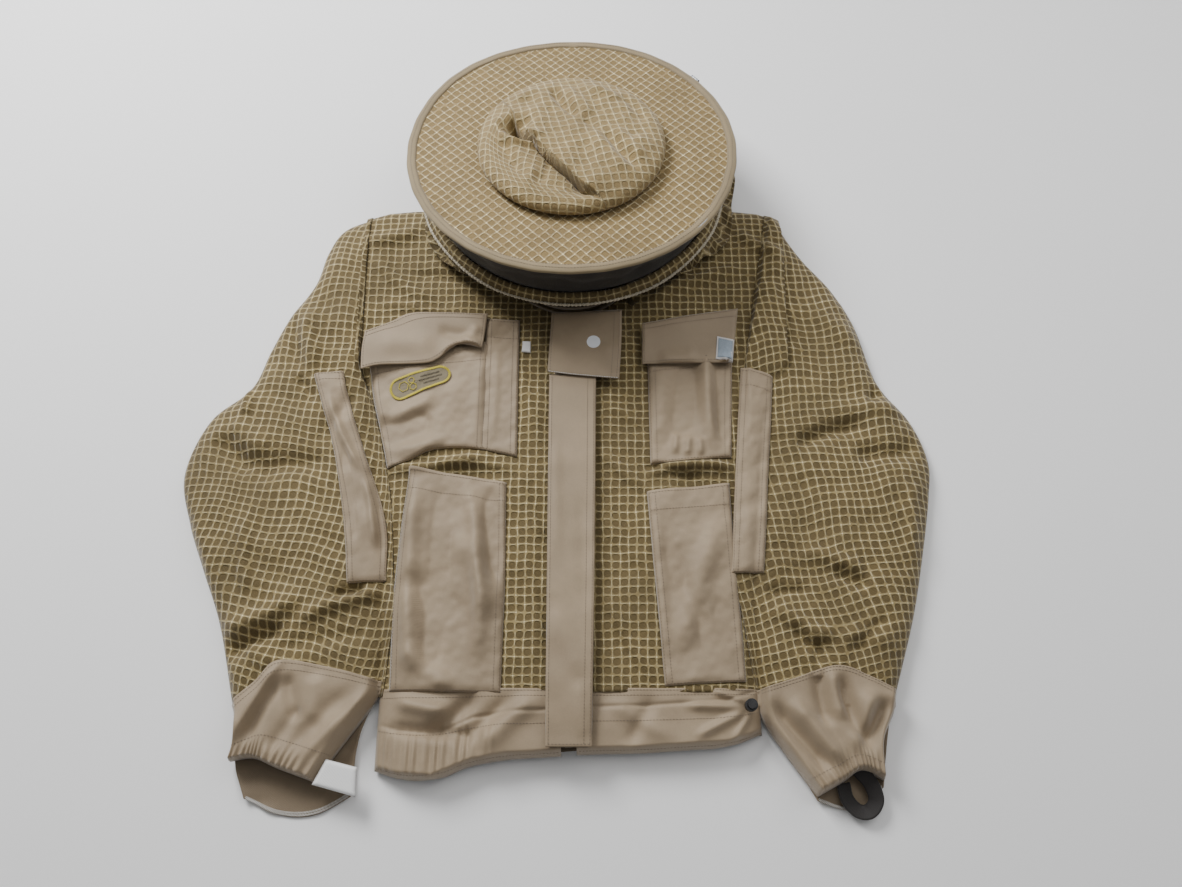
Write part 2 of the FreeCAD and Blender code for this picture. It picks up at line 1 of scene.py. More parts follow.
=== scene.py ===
"""Looks of the ventilated beekeeping jacket: cloth, hat, veil, trim and studio.

Shapes are worked out in millimetres in the model's frame and turned to metres as each mesh is made.
Every cloth piece carries a "flat" UV map: its place on the cut cloth, in metres, so that the woven
squares follow the folds.
"""
import math
import bmesh
import bpy
import numpy as np
from mathutils.kdtree import KDTree
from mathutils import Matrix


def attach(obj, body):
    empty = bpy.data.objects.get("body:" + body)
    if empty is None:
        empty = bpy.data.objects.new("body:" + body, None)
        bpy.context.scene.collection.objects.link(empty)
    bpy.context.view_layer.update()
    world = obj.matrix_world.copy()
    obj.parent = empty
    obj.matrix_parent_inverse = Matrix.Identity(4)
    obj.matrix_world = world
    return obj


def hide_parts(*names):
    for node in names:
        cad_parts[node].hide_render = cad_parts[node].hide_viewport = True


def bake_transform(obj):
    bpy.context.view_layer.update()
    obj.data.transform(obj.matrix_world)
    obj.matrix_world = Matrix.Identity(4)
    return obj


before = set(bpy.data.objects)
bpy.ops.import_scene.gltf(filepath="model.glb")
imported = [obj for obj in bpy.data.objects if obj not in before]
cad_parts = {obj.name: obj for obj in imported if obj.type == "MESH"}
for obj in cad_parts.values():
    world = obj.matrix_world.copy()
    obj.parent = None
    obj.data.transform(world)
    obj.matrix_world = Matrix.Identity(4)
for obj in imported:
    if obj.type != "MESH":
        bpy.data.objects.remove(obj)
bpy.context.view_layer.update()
MM = 0.001              # metres in a millimetre
CELL = 9.5              # pitch of the ventilated cloth's squares
WEAVE_DRIFT = 0.0035    # metres by which the rows of squares wander
LEFT, RIGHT = -1, 1     # the viewer's sides
FOLD_DEPTH = 1.35       # all drawn folds are deepened by this much

# ---------------------------------------------------------------- small maths


def smooth(t):
    """0 to 1 with a soft start and end."""
    t = np.clip(t, 0.0, 1.0)
    return t * t * (3 - 2 * t)


def curve_through(points, count):
    """Smooth line through a few points, sampled evenly in its parameter."""
    p = np.array(points, float)
    p = np.vstack([2 * p[0] - p[1], p, 2 * p[-1] - p[-2]])
    t = np.linspace(0, len(p) - 3 - 1e-9, count)
    k = t.astype(int)
    f = (t - k)[:, None]
    a, b, c, d = p[k], p[k + 1], p[k + 2], p[k + 3]
    return 0.5 * (2 * b + (c - a) * f + (2 * a - 5 * b + 4 * c - d) * f ** 2
                  + (3 * b - a - 3 * c + d) * f ** 3)


def wander(x, y, size, seed):
    """Smooth random field, about -1 to 1, whose bumps are about `size` across."""
    rng = np.random.default_rng(seed)
    total = np.zeros_like(x, dtype=float)
    for _ in range(7):
        turn = rng.uniform(0, math.tau)
        rate = math.tau / (size * rng.uniform(0.7, 1.6))
        total += np.sin(rate * (x * math.cos(turn) + y * math.sin(turn)) + rng.uniform(0, math.tau))
    return total / 3.2


def fold(x, y, start, end, width, height, bow=0.0, steep=0.0):
    """Ridge along a line, or a valley when height is negative. bow bends it to one side; steep
    makes its right-hand side, looking from start to end, drop more sharply."""
    sx, sy = start
    dx, dy = end[0] - sx, end[1] - sy
    length = math.hypot(dx, dy)
    along = ((x - sx) * dx + (y - sy) * dy) / length ** 2
    across = ((x - sx) * dy - (y - sy) * dx) / length
    across = across - bow * (1 - (2 * along - 1) ** 2)
    wide = width * np.where(across > 0, 1 - 0.7 * steep, 1 + 0.5 * steep)
    ends = smooth(along / 0.3 + 0.15) * smooth((1 - along) / 0.3 + 0.15)
    return FOLD_DEPTH * height * np.exp(-(across / wide) ** 2) * ends


# ---------------------------------------------------------------- meshes


def make_mesh(name, points, faces, flat=None):
    """Mesh from arrays in mm. flat is each corner's place on the cut cloth."""
    mesh = bpy.data.meshes.new(name)
    mesh.from_pydata((np.asarray(points, float) * MM).tolist(), [], np.asarray(faces).tolist())
    mesh.validate()
    if flat is not None:
        layer = mesh.uv_layers.new(name="flat")
        corner = np.zeros(len(mesh.loops), np.int32)
        mesh.loops.foreach_get("vertex_index", corner)
        layer.data.foreach_set("uv", (np.asarray(flat, float)[corner] * MM).astype(np.float32).ravel())
    mesh.polygons.foreach_set("use_smooth", [True] * len(mesh.polygons))
    piece = bpy.data.objects.new(name, mesh)
    bpy.context.scene.collection.objects.link(piece)
    return piece


def grid_faces(rows, columns, keep=None):
    """Four-cornered faces of a grid of points, or those of them to keep."""
    index = np.arange(rows * columns).reshape(rows, columns)
    quads = np.stack([index[:-1, :-1], index[:-1, 1:], index[1:, 1:], index[1:, :-1]], -1)
    quads = quads.reshape(-1, 4)
    return quads if keep is None else quads[keep.reshape(-1)]


def weld(piece):
    """Joins the first and last columns of a grid that goes all the way round."""
    joined = bmesh.new()
    joined.from_mesh(piece.data)
    bmesh.ops.remove_doubles(joined, verts=joined.verts, dist=0.02 * MM)
    joined.to_mesh(piece.data)
    joined.free()


def cloth(name, x, y, z, flat, thick=1.2, keep=None, closed=False):
    """Cloth piece from three grids of coordinates, given a little thickness below its face."""
    points = np.stack([x, y, z], -1)
    SURFACES[name] = points
    rising = np.cross(points[:-1, 1:] - points[:-1, :-1], points[1:, :-1] - points[:-1, :-1])[..., 2].sum()
    faces = grid_faces(*x.shape, keep)
    if rising < 0:
        faces = faces[:, ::-1]
    piece = make_mesh(name, points.reshape(-1, 3), faces, flat.reshape(-1, 2))
    if closed:
        weld(piece)
    if thick:
        solid = piece.modifiers.new("thickness", "SOLIDIFY")
        solid.thickness = thick * MM
        solid.offset = -1
        apply_modifiers(piece)
    return piece


def apply_modifiers(piece):
    """Turns what the modifiers make into the piece's own mesh."""
    bpy.context.view_layer.update()
    graph = bpy.context.evaluated_depsgraph_get()
    done = bpy.data.meshes.new_from_object(piece.evaluated_get(graph))
    piece.modifiers.clear()
    piece.data = done
    return piece


def tube(name, centre, radius, sides=8, closed=False):
    """Round bar along a line of points in mm."""
    c = np.asarray(centre, float)
    if closed:
        ahead = np.roll(c, -1, 0) - np.roll(c, 1, 0)
    else:
        ahead = np.gradient(c, axis=0)
    ahead /= np.linalg.norm(ahead, axis=1)[:, None]
    up = np.array([0.0, 0.0, 1.0])
    side = np.cross(ahead, up)
    side /= np.maximum(np.linalg.norm(side, axis=1), 1e-6)[:, None]
    over = np.cross(side, ahead)
    turn = np.arange(sides) * math.tau / sides
    radius = np.broadcast_to(radius, (len(c),))
    points = (c[:, None] + radius[:, None, None] * (np.cos(turn)[None, :, None] * side[:, None]
              + np.sin(turn)[None, :, None] * over[:, None])).reshape(-1, 3)
    n = len(c)
    faces = []
    for i in range(n if closed else n - 1):
        j = (i + 1) % n
        for k in range(sides):
            m = (k + 1) % sides
            faces.append((i * sides + k, i * sides + m, j * sides + m, j * sides + k))
    return make_mesh(name, points, faces)


STITCH = np.array([(-1, 0, 0), (-0.5, 1, 0.1), (-0.5, -1, 0.1), (-0.4, 0, 1), (0.5, 1, 0.1), (0.5, -1, 0.1),
                   (0.4, 0, 1), (1, 0, 0)])
STITCH_FACES = [(0, 2, 3), (0, 3, 1), (1, 3, 6, 4), (3, 2, 5, 6), (4, 6, 7), (6, 5, 7)]


def along_line(line, step):
    """Points every `step` mm along a line of corners, and the directions there."""
    line = np.asarray(line, float)
    reach = np.concatenate([[0], np.cumsum(np.linalg.norm(np.diff(line, axis=0), axis=1))])
    count = max(2, int(reach[-1] / step))
    at = (np.arange(count) + 0.5) * reach[-1] / count
    place = np.stack([np.interp(at, reach, line[:, k]) for k in range(3)], -1)
    ahead = np.stack([np.interp(at + 0.4, reach, line[:, k]) for k in range(3)], -1) - place
    ahead /= np.maximum(np.linalg.norm(ahead, axis=1), 1e-6)[:, None]
    return place, ahead


def stitched(name, lines, material, body, long=2.5, step=3.5, fat=0.34, lift=0.3, turn=0.0):
    """Rows of thread along lines of 3-D points in mm, each stitch a small rounded dash."""
    points, faces = [], []
    for line in lines:
        for place, ahead in zip(*along_line(line, step)):
            side = np.array([-ahead[1], ahead[0], 0.0])
            side /= max(np.linalg.norm(side), 1e-6)
            if turn:
                ahead, side = (ahead * math.cos(turn) + side * math.sin(turn),
                               side * math.cos(turn) - ahead * math.sin(turn))
            base = len(points)
            offset = (STITCH[:, :1] * ahead * long / 2 + STITCH[:, 1:2] * side * fat
                      + STITCH[:, 2:] * np.array([0, 0, fat]))
            points.extend((place + offset + (0, 0, lift)).tolist())
            faces += [tuple(base + i for i in face) for face in STITCH_FACES]
    mesh = bpy.data.meshes.new(name)
    mesh.from_pydata((np.array(points) * MM).tolist(), [], faces)
    piece = bpy.data.objects.new(name, mesh)
    bpy.context.scene.collection.objects.link(piece)
    dress(piece, material)
    if isinstance(body, tuple):
        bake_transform(piece)
    else:
        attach(piece, body)
    return piece


SURFACES = {}       # each cloth piece's own grid of points, for what is sewn along its edges


def edge_lines(name, rows):
    """Lines along a piece's edges. rows is pairs of a side (l, r, b or t) and an inset in mm."""
    grid = SURFACES[name]
    width = np.linalg.norm(np.diff(grid[0], axis=0), axis=1).sum()
    height = np.linalg.norm(np.diff(grid[:, 0], axis=0), axis=1).sum()
    count_v, count_u = grid.shape[:2]
    trim = 2.5
    lines = []
    for side, inset in rows:
        across = inset / width if side in "lr" else inset / height
        if side in "rt":
            across = 1 - across
        if side in "lr":
            at = across * (count_u - 1)
            low = int(at)
            line = grid[:, low] * (1 - at + low) + grid[:, min(low + 1, count_u - 1)] * (at - low)
            cut = max(1, int(trim / height * count_v))
        else:
            at = across * (count_v - 1)
            low = int(at)
            line = grid[low] * (1 - at + low) + grid[min(low + 1, count_v - 1)] * (at - low)
            cut = max(1, int(trim / width * count_u))
        lines.append(line[cut:-cut])
    return lines


def topstitch(name, body, rows):
    """Rows of stitches a little inside a cloth piece's edges."""
    return stitched(f"{name}_stitches", edge_lines(name, rows), thread, body)


# ---------------------------------------------------------------- materials


class Shader:
    """Short way to wire a node material."""

    def __init__(self, name):
        self.material = bpy.data.materials.new(name)
        self.material.use_nodes = True
        self.tree = self.material.node_tree
        self.main = self.tree.nodes["Principled BSDF"]

    def node(self, kind, **settings):
        made = self.tree.nodes.new("ShaderNode" + kind)
        for key, value in settings.items():
            setattr(made, key, value)
        return made

    def feed(self, socket, value):
        if hasattr(value, "is_output"):
            self.tree.links.new(value, socket)
        else:
            socket.default_value = value

    def maths(self, operation, *values):
        made = self.node("Math", operation=operation)
        for socket, value in zip(made.inputs, values):
            self.feed(socket, value)
        return made.outputs[0]

    def noise(self, vector, scale, detail=2.0):
        made = self.node("TexNoise")
        self.feed(made.inputs["Vector"], vector)
        made.inputs["Scale"].default_value = scale
        made.inputs["Detail"].default_value = detail
        return made.outputs["Fac"]

    def ramp(self, value, low, high):
        made = self.node("MapRange", interpolation_type="SMOOTHSTEP")
        self.feed(made.inputs[0], value)
        made.inputs[1].default_value = low
        made.inputs[2].default_value = high
        return made.outputs[0]

    def mix(self, factor, a, b):
        made = self.node("Mix", data_type="RGBA")
        self.feed(made.inputs[0], factor)
        self.feed(made.inputs[6], a if hasattr(a, "is_output") else (*a, 1))
        self.feed(made.inputs[7], b if hasattr(b, "is_output") else (*b, 1))
        return made.outputs[2]

    def bump(self, height, distance, strength=1.0, under=None):
        made = self.node("Bump")
        made.inputs["Strength"].default_value = strength
        made.inputs["Distance"].default_value = distance
        self.feed(made.inputs["Height"], height)
        if under is not None:
            self.feed(made.inputs["Normal"], under)
        return made.outputs[0]

    def finish(self, colour, rough, normal=None, sheen=0.0, metal=0.0):
        self.feed(self.main.inputs["Base Color"], colour if hasattr(colour, "is_output") else (*colour, 1))
        self.feed(self.main.inputs["Roughness"], rough)
        self.main.inputs["Metallic"].default_value = metal
        self.main.inputs["Sheen Weight"].default_value = sheen
        self.main.inputs["Sheen Roughness"].default_value = 0.4
        if normal is not None:
            self.feed(self.main.inputs["Normal"], normal)
        return self.material


def squares(s, uv, turn):
    """The woven squares: how far each place is from its square's middle along both ways, as a share
    of the pitch, and a random number for each square."""
    wobble = s.node("TexNoise")
    wobble.inputs["Scale"].default_value = 45
    wobble.inputs["Detail"].default_value = 1
    s.feed(wobble.inputs["Vector"], uv)
    shift = s.node("VectorMath", operation="MULTIPLY_ADD")
    s.feed(shift.inputs[0], wobble.outputs["Color"])
    shift.inputs[1].default_value = (WEAVE_DRIFT, WEAVE_DRIFT, 0)
    s.feed(shift.inputs[2], uv)
    lay = s.node("Mapping")
    s.feed(lay.inputs[0], shift.outputs[0])
    lay.inputs["Rotation"].default_value[2] = turn
    lay.inputs["Scale"].default_value = (1 / (CELL * MM),) * 3
    split = s.node("SeparateXYZ")
    s.feed(split.inputs[0], lay.outputs[0])
    from_middle = [s.maths("ABSOLUTE", s.maths("SUBTRACT", s.maths("FRACT", split.outputs[axis]), 0.5))
                   for axis in (0, 1)]
    floor = s.node("VectorMath", operation="FLOOR")
    s.feed(floor.inputs[0], lay.outputs[0])
    chance = s.node("TexWhiteNoise", noise_dimensions="2D")
    s.feed(chance.inputs["Vector"], floor.outputs[0])
    return *from_middle, chance.outputs[0]


def ventilated(name, cell_colour, web_colour, thread_colour, turn=0.0):
    """Three-layer ventilated cloth: sunken rounded squares between webs with a pale thread."""
    s = Shader(name)
    uv = s.node("UVMap", uv_map="flat").outputs[0]
    where = s.node("TexCoord").outputs["Object"]
    from_x, from_y, chance = squares(s, uv, turn)
    rounded = s.maths("ADD", s.maths("POWER", from_x, 3.0), s.maths("POWER", from_y, 3.0))
    web = s.ramp(s.maths("POWER", rounded, 1 / 3), 0.33, 0.43)
    thread_line = s.ramp(s.maths("MAXIMUM", from_x, from_y), 0.425, 0.475)
    fine = s.noise(where, 900, 3)
    medium = s.noise(where, 240, 2)
    broad = s.noise(where, 11, 3)
    dark = tuple(c * 0.62 for c in cell_colour)
    light = tuple(min(1, c * 1.25) for c in cell_colour)
    cell = s.mix(s.maths("MULTIPLY", chance, 0.75), cell_colour, dark)
    cell = s.mix(s.ramp(fine, 0.4, 0.75), cell, light)
    hatch = s.node("TexWave", bands_direction="DIAGONAL")
    s.feed(hatch.inputs["Vector"], uv)
    hatch.inputs["Scale"].default_value = 190
    hatch.inputs["Distortion"].default_value = 1.5
    cell = s.mix(s.maths("MULTIPLY", s.ramp(hatch.outputs["Fac"], 0.5, 0.9), 0.3), cell, dark)
    webbing = s.mix(s.ramp(medium, 0.3, 0.7), web_colour, tuple(c * 0.72 for c in web_colour))
    cloth_colour = s.mix(web, cell, webbing)
    bright = s.maths("MULTIPLY", thread_line, s.ramp(medium, 0.36, 0.6))
    cloth_colour = s.mix(s.maths("MULTIPLY", bright, 0.8), cloth_colour, thread_colour)
    # Painted highlight: the thread crossings lightened in random spots, as small glints.
    corner = s.ramp(s.maths("MINIMUM", from_x, from_y), 0.40, 0.46)
    crossing_glint = s.maths("MULTIPLY", corner, s.ramp(medium, 0.42, 0.55))
    cloth_colour = s.mix(crossing_glint, cloth_colour, tuple(min(1, c * 1.4) for c in thread_colour))
    cloth_colour = s.mix(s.maths("MULTIPLY", s.ramp(broad, 0.42, 0.72), 0.34), cloth_colour, dark)
    height = s.maths("ADD", s.maths("MULTIPLY", web, 0.7), s.maths("MULTIPLY", bright, 0.4))
    relief = s.bump(height, 0.0012, 0.9, s.bump(fine, 0.0005, 0.6))
    return s.finish(cloth_colour, 0.82, relief, sheen=0.25)


def woven(name, colour, rough=0.72, sheen=0.3, weave=0.00012, mottling=0.18, rib=1.0):
    """Plain or twill cloth: fine diagonal weave, soft mottling and a little sheen."""
    s = Shader(name)
    where = s.node("TexCoord").outputs["Object"]
    wave = s.node("TexWave", bands_direction="DIAGONAL")
    s.feed(wave.inputs["Vector"], where)
    wave.inputs["Scale"].default_value = 420 * rib
    wave.inputs["Distortion"].default_value = 2.0
    wave.inputs["Detail"].default_value = 1.0
    wave.inputs["Detail Scale"].default_value = 3.0
    fine = s.noise(where, 1400, 2)
    medium = s.noise(where, 130, 3)
    broad = s.noise(where, 14, 3)
    darker = tuple(c * (1 - mottling) for c in colour)
    lighter = tuple(min(1, c * (1 + 0.6 * mottling)) for c in colour)
    shade = s.mix(s.ramp(broad, 0.35, 0.7), darker, colour)
    shade = s.mix(s.maths("MULTIPLY", s.ramp(fine, 0.35, 0.7), 0.5), shade, lighter)
    shade = s.mix(s.maths("MULTIPLY", s.ramp(medium, 0.4, 0.8), 0.3), shade, darker)
    height = s.maths("ADD", wave.outputs["Fac"], s.maths("MULTIPLY", fine, 0.8))
    slub = s.bump(medium, 0.0006, 0.35)
    return s.finish(shade, rough, s.bump(height, weave, 0.8, slub), sheen=sheen)


NET_RATE = 1900.0   # radians of the net's weave in each metre


def net(name):
    """Fine black veil net."""
    s = Shader(name)
    uv = s.node("UVMap", uv_map="flat").outputs[0]
    split = s.node("SeparateXYZ")
    s.feed(split.inputs[0], uv)
    waves = [s.maths("ABSOLUTE", s.maths("SINE", s.maths("MULTIPLY", split.outputs[axis], NET_RATE)))
             for axis in (0, 1)]
    cross = s.maths("MAXIMUM", *waves)
    where = s.node("TexCoord").outputs["Object"]
    shade = s.mix(s.ramp(cross, 0.75, 0.98), (0.006, 0.006, 0.007), (0.035, 0.032, 0.03))
    dusty = s.maths("MULTIPLY", s.ramp(s.noise(where, 25, 3), 0.4, 0.7), 0.35)
    shade = s.mix(dusty, shade, (0.06, 0.055, 0.045))
    return s.finish(shade, 0.6, s.bump(cross, 0.0004, 0.7), sheen=0.1)


def moulded(name, colour, rough=0.4, metal=0.0, grain=1600.0, wear=(0.1, 0.1, 0.1)):
    """Moulded plastic or plated metal with fine grain and rubbed patches."""
    s = Shader(name)
    where = s.node("TexCoord").outputs["Object"]
    fine = s.noise(where, grain, 3)
    rub = s.ramp(s.noise(where, 220, 4), 0.5, 0.75)
    shade = s.mix(s.maths("MULTIPLY", rub, 0.5), colour, wear)
    uneven = s.maths("ADD", rough, s.maths("MULTIPLY", fine, 0.15))
    return s.finish(shade, uneven, s.bump(fine, 0.00008, 0.6), metal=metal)


def dress(piece, material):
    """Gives a piece one material."""
    piece.data.materials.clear()
    piece.data.materials.append(material)
    return piece


KHAKI = (0.325, 0.246, 0.158)
mesh_cloth = ventilated("ventilated_mesh", (0.122, 0.084, 0.027), (0.300, 0.226, 0.096), (0.60, 0.50, 0.28))
hat_cloth = ventilated("ventilated_mesh_hat", (0.220, 0.150, 0.056), (0.325, 0.232, 0.100),
                       (0.76, 0.64, 0.38), turn=math.radians(45))
crown_cloth = ventilated("ventilated_mesh_crown", (0.265, 0.185, 0.075), (0.400, 0.305, 0.145),
                         (0.66, 0.55, 0.31))
# Painted shade: the jacket's mesh cloth made darker for the bunched cloth under the hoop.
shaded_mesh = ventilated("ventilated_mesh_painted_shade", (0.105, 0.072, 0.024), (0.260, 0.195, 0.083),
                         (0.52, 0.43, 0.24))
twill = woven("khaki_twill", KHAKI, rough=0.6, sheen=0.4)
# Painted shade: the khaki twill made darker for the cuffs' lower layers and the waistband's back.
twill_painted_shade = woven("khaki_twill_painted_shade", tuple(0.62 * c for c in KHAKI), sheen=0.15)
binding_tape = woven("binding_tape", (0.270, 0.210, 0.120), rough=0.8, rib=0.6)
veil_net = net("veil_net")
cord_edge = woven("corded_edge", (0.56, 0.50, 0.38), rough=0.85, rib=0.5, mottling=0.35)
zip_tape = woven("zip_tape", (0.16, 0.125, 0.085), rough=0.8, rib=1.4)
thread = woven("sewing_thread", (0.205, 0.160, 0.115), rough=0.6, mottling=0.3)
pale_thread = woven("overlock_thread", (0.72, 0.70, 0.66), rough=0.7, mottling=0.25)
white_elastic = woven("white_elastic", (0.80, 0.80, 0.79), rough=0.65, rib=0.5, mottling=0.06)
black_elastic = woven("black_elastic", (0.016, 0.013, 0.012), rough=0.7, rib=0.5)
brass = moulded("antique_brass", (0.20, 0.165, 0.11), rough=0.38, metal=1.0, wear=(0.45, 0.38, 0.25))
steel = moulded("spring_steel", (0.36, 0.38, 0.42), rough=0.35, metal=1.0, wear=(0.6, 0.62, 0.66))
nylon = moulded("black_nylon", (0.012, 0.012, 0.013), rough=0.42, wear=(0.05, 0.05, 0.05))
film = moulded("sticker_film", (0.80, 0.82, 0.85), rough=0.3, wear=(0.72, 0.75, 0.8))
label_weave = woven("label_weave", (0.30, 0.36, 0.42), rough=0.5, rib=0.35, mottling=0.5)
badge_twill = woven("badge_twill", (0.20, 0.165, 0.10), rib=1.2)
badge_thread = woven("badge_thread", (0.62, 0.52, 0.06), rough=0.5, rib=1.5, mottling=0.3)
badge_dark = woven("badge_dark_thread", (0.045, 0.036, 0.022), rough=0.5, rib=1.5)
label_satin = woven("label_satin", (0.74, 0.72, 0.70), rough=0.45, rib=1.6, mottling=0.08)

# ---------------------------------------------------------------- cloth patches


def coons(foot, top, left, right, rows, columns):
    """Grid of points filling four edges. Each edge is a few points: foot and top run left to right,
    left and right run upwards."""
    v, u = np.meshgrid(np.linspace(0, 1, rows), np.linspace(0, 1, columns), indexing="ij")
    foot, top = curve_through(foot, columns), curve_through(top, columns)
    left, right = curve_through(left, rows), curve_through(right, rows)
    u_, v_ = u[..., None], v[..., None]
    across = (1 - u_) * left[:, None] + u_ * right[:, None]
    along = (1 - v_) * foot[None] + v_ * top[None]
    corners = ((1 - u_) * (1 - v_) * foot[0] + u_ * (1 - v_) * foot[-1]
               + (1 - u_) * v_ * top[0] + u_ * v_ * top[-1])
    grid = across + along - corners
    return u, v, grid[..., 0], grid[..., 1]


def quad(corners, rows, columns):
    """Straight-sided patch between four corners: foot left, foot right, top right, top left."""
    fl, fr, tr, tl = corners
    return coons([fl, fr], [tl, tr], [fl, tl], [fr, tr], rows, columns)


def arc_flat(x, y, z):
    """Lengths across and along a grid, measured over its folds: the cut cloth's map."""
    p = np.stack([x, y, z], -1)
    down = np.cumsum(np.linalg.norm(np.diff(p, axis=0, prepend=p[:1]), axis=-1), 0)
    over = np.cumsum(np.linalg.norm(np.diff(p, axis=1, prepend=p[:, :1]), axis=-1), 1)
    return np.stack([over, down], -1)


def rim_of(u, v, wide_u=0.05, wide_v=0.05, sides="lrtb"):
    """1 inside a patch, falling to 0 at the named edges."""
    edge = np.ones_like(u)
    for side, reach in (("l", u / wide_u), ("r", (1 - u) / wide_u), ("b", v / wide_v),
                        ("t", (1 - v) / wide_v)):
        if side in sides:
            edge = np.minimum(edge, reach)
    return np.sqrt(smooth(edge))


def strokes(x, y, lines):
    """Sum of folds, each (start, end, width, height[, bow[, steep]])."""
    total = np.zeros_like(x, dtype=float)
    for start, end, width, height, *rest in lines:
        total = total + fold(x, y, start, end, width, height, *rest)
    return total


def declare(piece):
    """Measures a cloth piece's flat size: the extent of its map, as width and length. The piece is returned
    unchanged."""
    mesh = piece.data
    flat = np.zeros(len(mesh.loops) * 2, np.float32)
    mesh.uv_layers["flat"].data.foreach_get("uv", flat)
    size = np.ptp(flat.reshape(-1, 2), axis=0)
    width, length = (float(value) for value in size)
    if min(width, length) < NARROW:
        return piece
    return piece


# ---------------------------------------------------------------- the torso

TORSO_Y = [-420, -340, -222, -90, 40, 236]          # places from hem to shoulder
TORSO_HALF = [204, 204, 208, 226, 258, 262]         # the body's half width at each
PANEL_FOOT = -342.0                                 # where the panels meet the waistband
SHOULDER = 240.0
NECK = (0.0, 186.0)
NECK_RADIUS = 80.5
ARMPIT = 40.0
ZIP_HALF = 6.0                                      # the front panels stop this far from the middle
NARROW = 0.012      # width in metres that declare() tests a piece's map against


def torso_half(y):
    """Half of the body's width at a place between hem and shoulder."""
    return np.interp(y, TORSO_Y, TORSO_HALF)


def torso_top(x):
    """Height up the jacket of the shoulder line."""
    return np.interp(np.abs(x), [0, 200, 235, 264], [268, 266, 262, 252])


# Every list of folds holds (start, end, width, height, bow, steep) as fold() takes them.
FRONT_FOLDS = (
    ((-215, -92), (-90, -76), 6, 6, 5), ((-160, -86), (-60, -96), 5, 4, -4),
    ((84, -100), (188, -92), 6, 9, -6), ((80, -88), (150, -106), 4, -4), ((30, -70), (85, -120), 7, 4),
    ((34, -10), (84, -40), 6, 2.5), ((-60, -100), (-28, -180), 6, 3, 3),
    ((-55, -190), (-30, -300), 6, 3, -4), ((35, -140), (80, -210), 7, 3, 4),
    ((38, -230), (90, -330), 6, 4, 5), ((-250, 190), (-170, 120), 8, 5, 6),
    ((-235, 120), (-150, 105), 6, 3, -3), ((-262, 210), (-190, 225), 9, 5, 4),
    ((205, 225), (262, 180), 8, 5, 3), ((215, 170), (120, 135), 8, 5, 6),
    ((150, 180), (95, 125), 6, 4, -4), ((-205, 165), (-120, 150), 6, -3),
    ((-62, 40), (-34, -60), 5, 2.5, 2), ((30, 100), (80, 60), 6, 3),
)


def front_height(x, y):
    """Top of the body's front cloth."""
    x, y = np.asarray(x, float), np.asarray(y, float)
    across = np.clip(np.abs(x) / torso_half(y), 0, 1)
    up = np.clip((y + 440) / (torso_top(x) + 440), 0, 1)
    side = np.sqrt(np.clip(1 - across ** 9, 0, 1))
    side = side + (1 - side) * smooth((y - ARMPIT + 30) / 40)
    loft = side * np.sqrt(np.clip(1 - up ** 40, 0, 1)) * (np.abs(x) <= torso_half(y) + 2)
    wrinkles = 1.6 * wander(x, y, 95, 3) + 0.8 * wander(x, y, 38, 4) + 0.3 * wander(x, y, 15, 5)
    return 4 + (25.5 + wrinkles + strokes(x, y, FRONT_FOLDS)) * loft


def finish_cloth(piece, material, body, nodes):
    """Gives a cloth piece its material, measures its map, attaches it to the body it follows or bakes it in
    place, and hides the nodes it replaces.
    """
    dress(piece, material)
    declare(piece)
    if isinstance(body, tuple):
        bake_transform(piece)
    else:
        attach(piece, body)
    if nodes:
        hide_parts(*nodes)
    return piece


def front_panel(side, name, nodes):
    """One half of the front, from hem to shoulder, with the neck opening left out."""
    v, u = np.meshgrid(np.linspace(0, 1, 190), np.linspace(0, 1, 96) ** 0.9, indexing="ij")
    half = torso_half(PANEL_FOOT + v * (SHOULDER - PANEL_FOOT))
    x = side * (ZIP_HALF + u * (half - ZIP_HALF))
    y = PANEL_FOOT + v * (torso_top(x) - PANEL_FOOT)
    z = front_height(x, y)
    middle_x = (x[:-1, :-1] + x[1:, 1:]) / 2
    middle_y = (y[:-1, :-1] + y[1:, 1:]) / 2
    outside_neck = np.hypot(middle_x - NECK[0], middle_y - NECK[1]) > NECK_RADIUS
    piece = cloth(name, x, y, z, np.stack([x, y], -1), 1.6, outside_neck)
    return finish_cloth(piece, mesh_cloth, "jacket", nodes)


def back_cloth():
    """The back, flat on what the jacket lies on."""
    v, u = np.meshgrid(np.linspace(0, 1, 150), np.linspace(-1, 1, 110), indexing="ij")
    x = u * torso_half(PANEL_FOOT + v * (SHOULDER - PANEL_FOOT))
    y = PANEL_FOOT + v * (torso_top(x) - PANEL_FOOT)
    rim = np.clip(np.abs(u) ** 24 + v ** 40, 0, 1)
    z = 1.6 + 2.4 * rim + 0.4 * np.abs(wander(x, y, 60, 8))
    piece = cloth("back_cloth", x, y, z, np.stack([x, y], -1), 1.2)
    return finish_cloth(piece, mesh_cloth, "jacket", ["back_panel"])


for word, side in (("left", LEFT), ("right", RIGHT)):
    front_panel(side, f"{word}_front_cloth", [f"{word}_front_panel", f"{word}_side_panel"])
back_cloth()

# ---------------------------------------------------------------- waistband

HEM = [(-204, -420), (-178, -428), (-141, -431), (-101, -415), (-65, -409), (-27, -407), (15, -404),
       (74, -403), (166, -397), (191, -389), (206, -382)]
HEM_X = [point[0] for point in HEM]
HEM_Y = [point[1] for point in HEM]


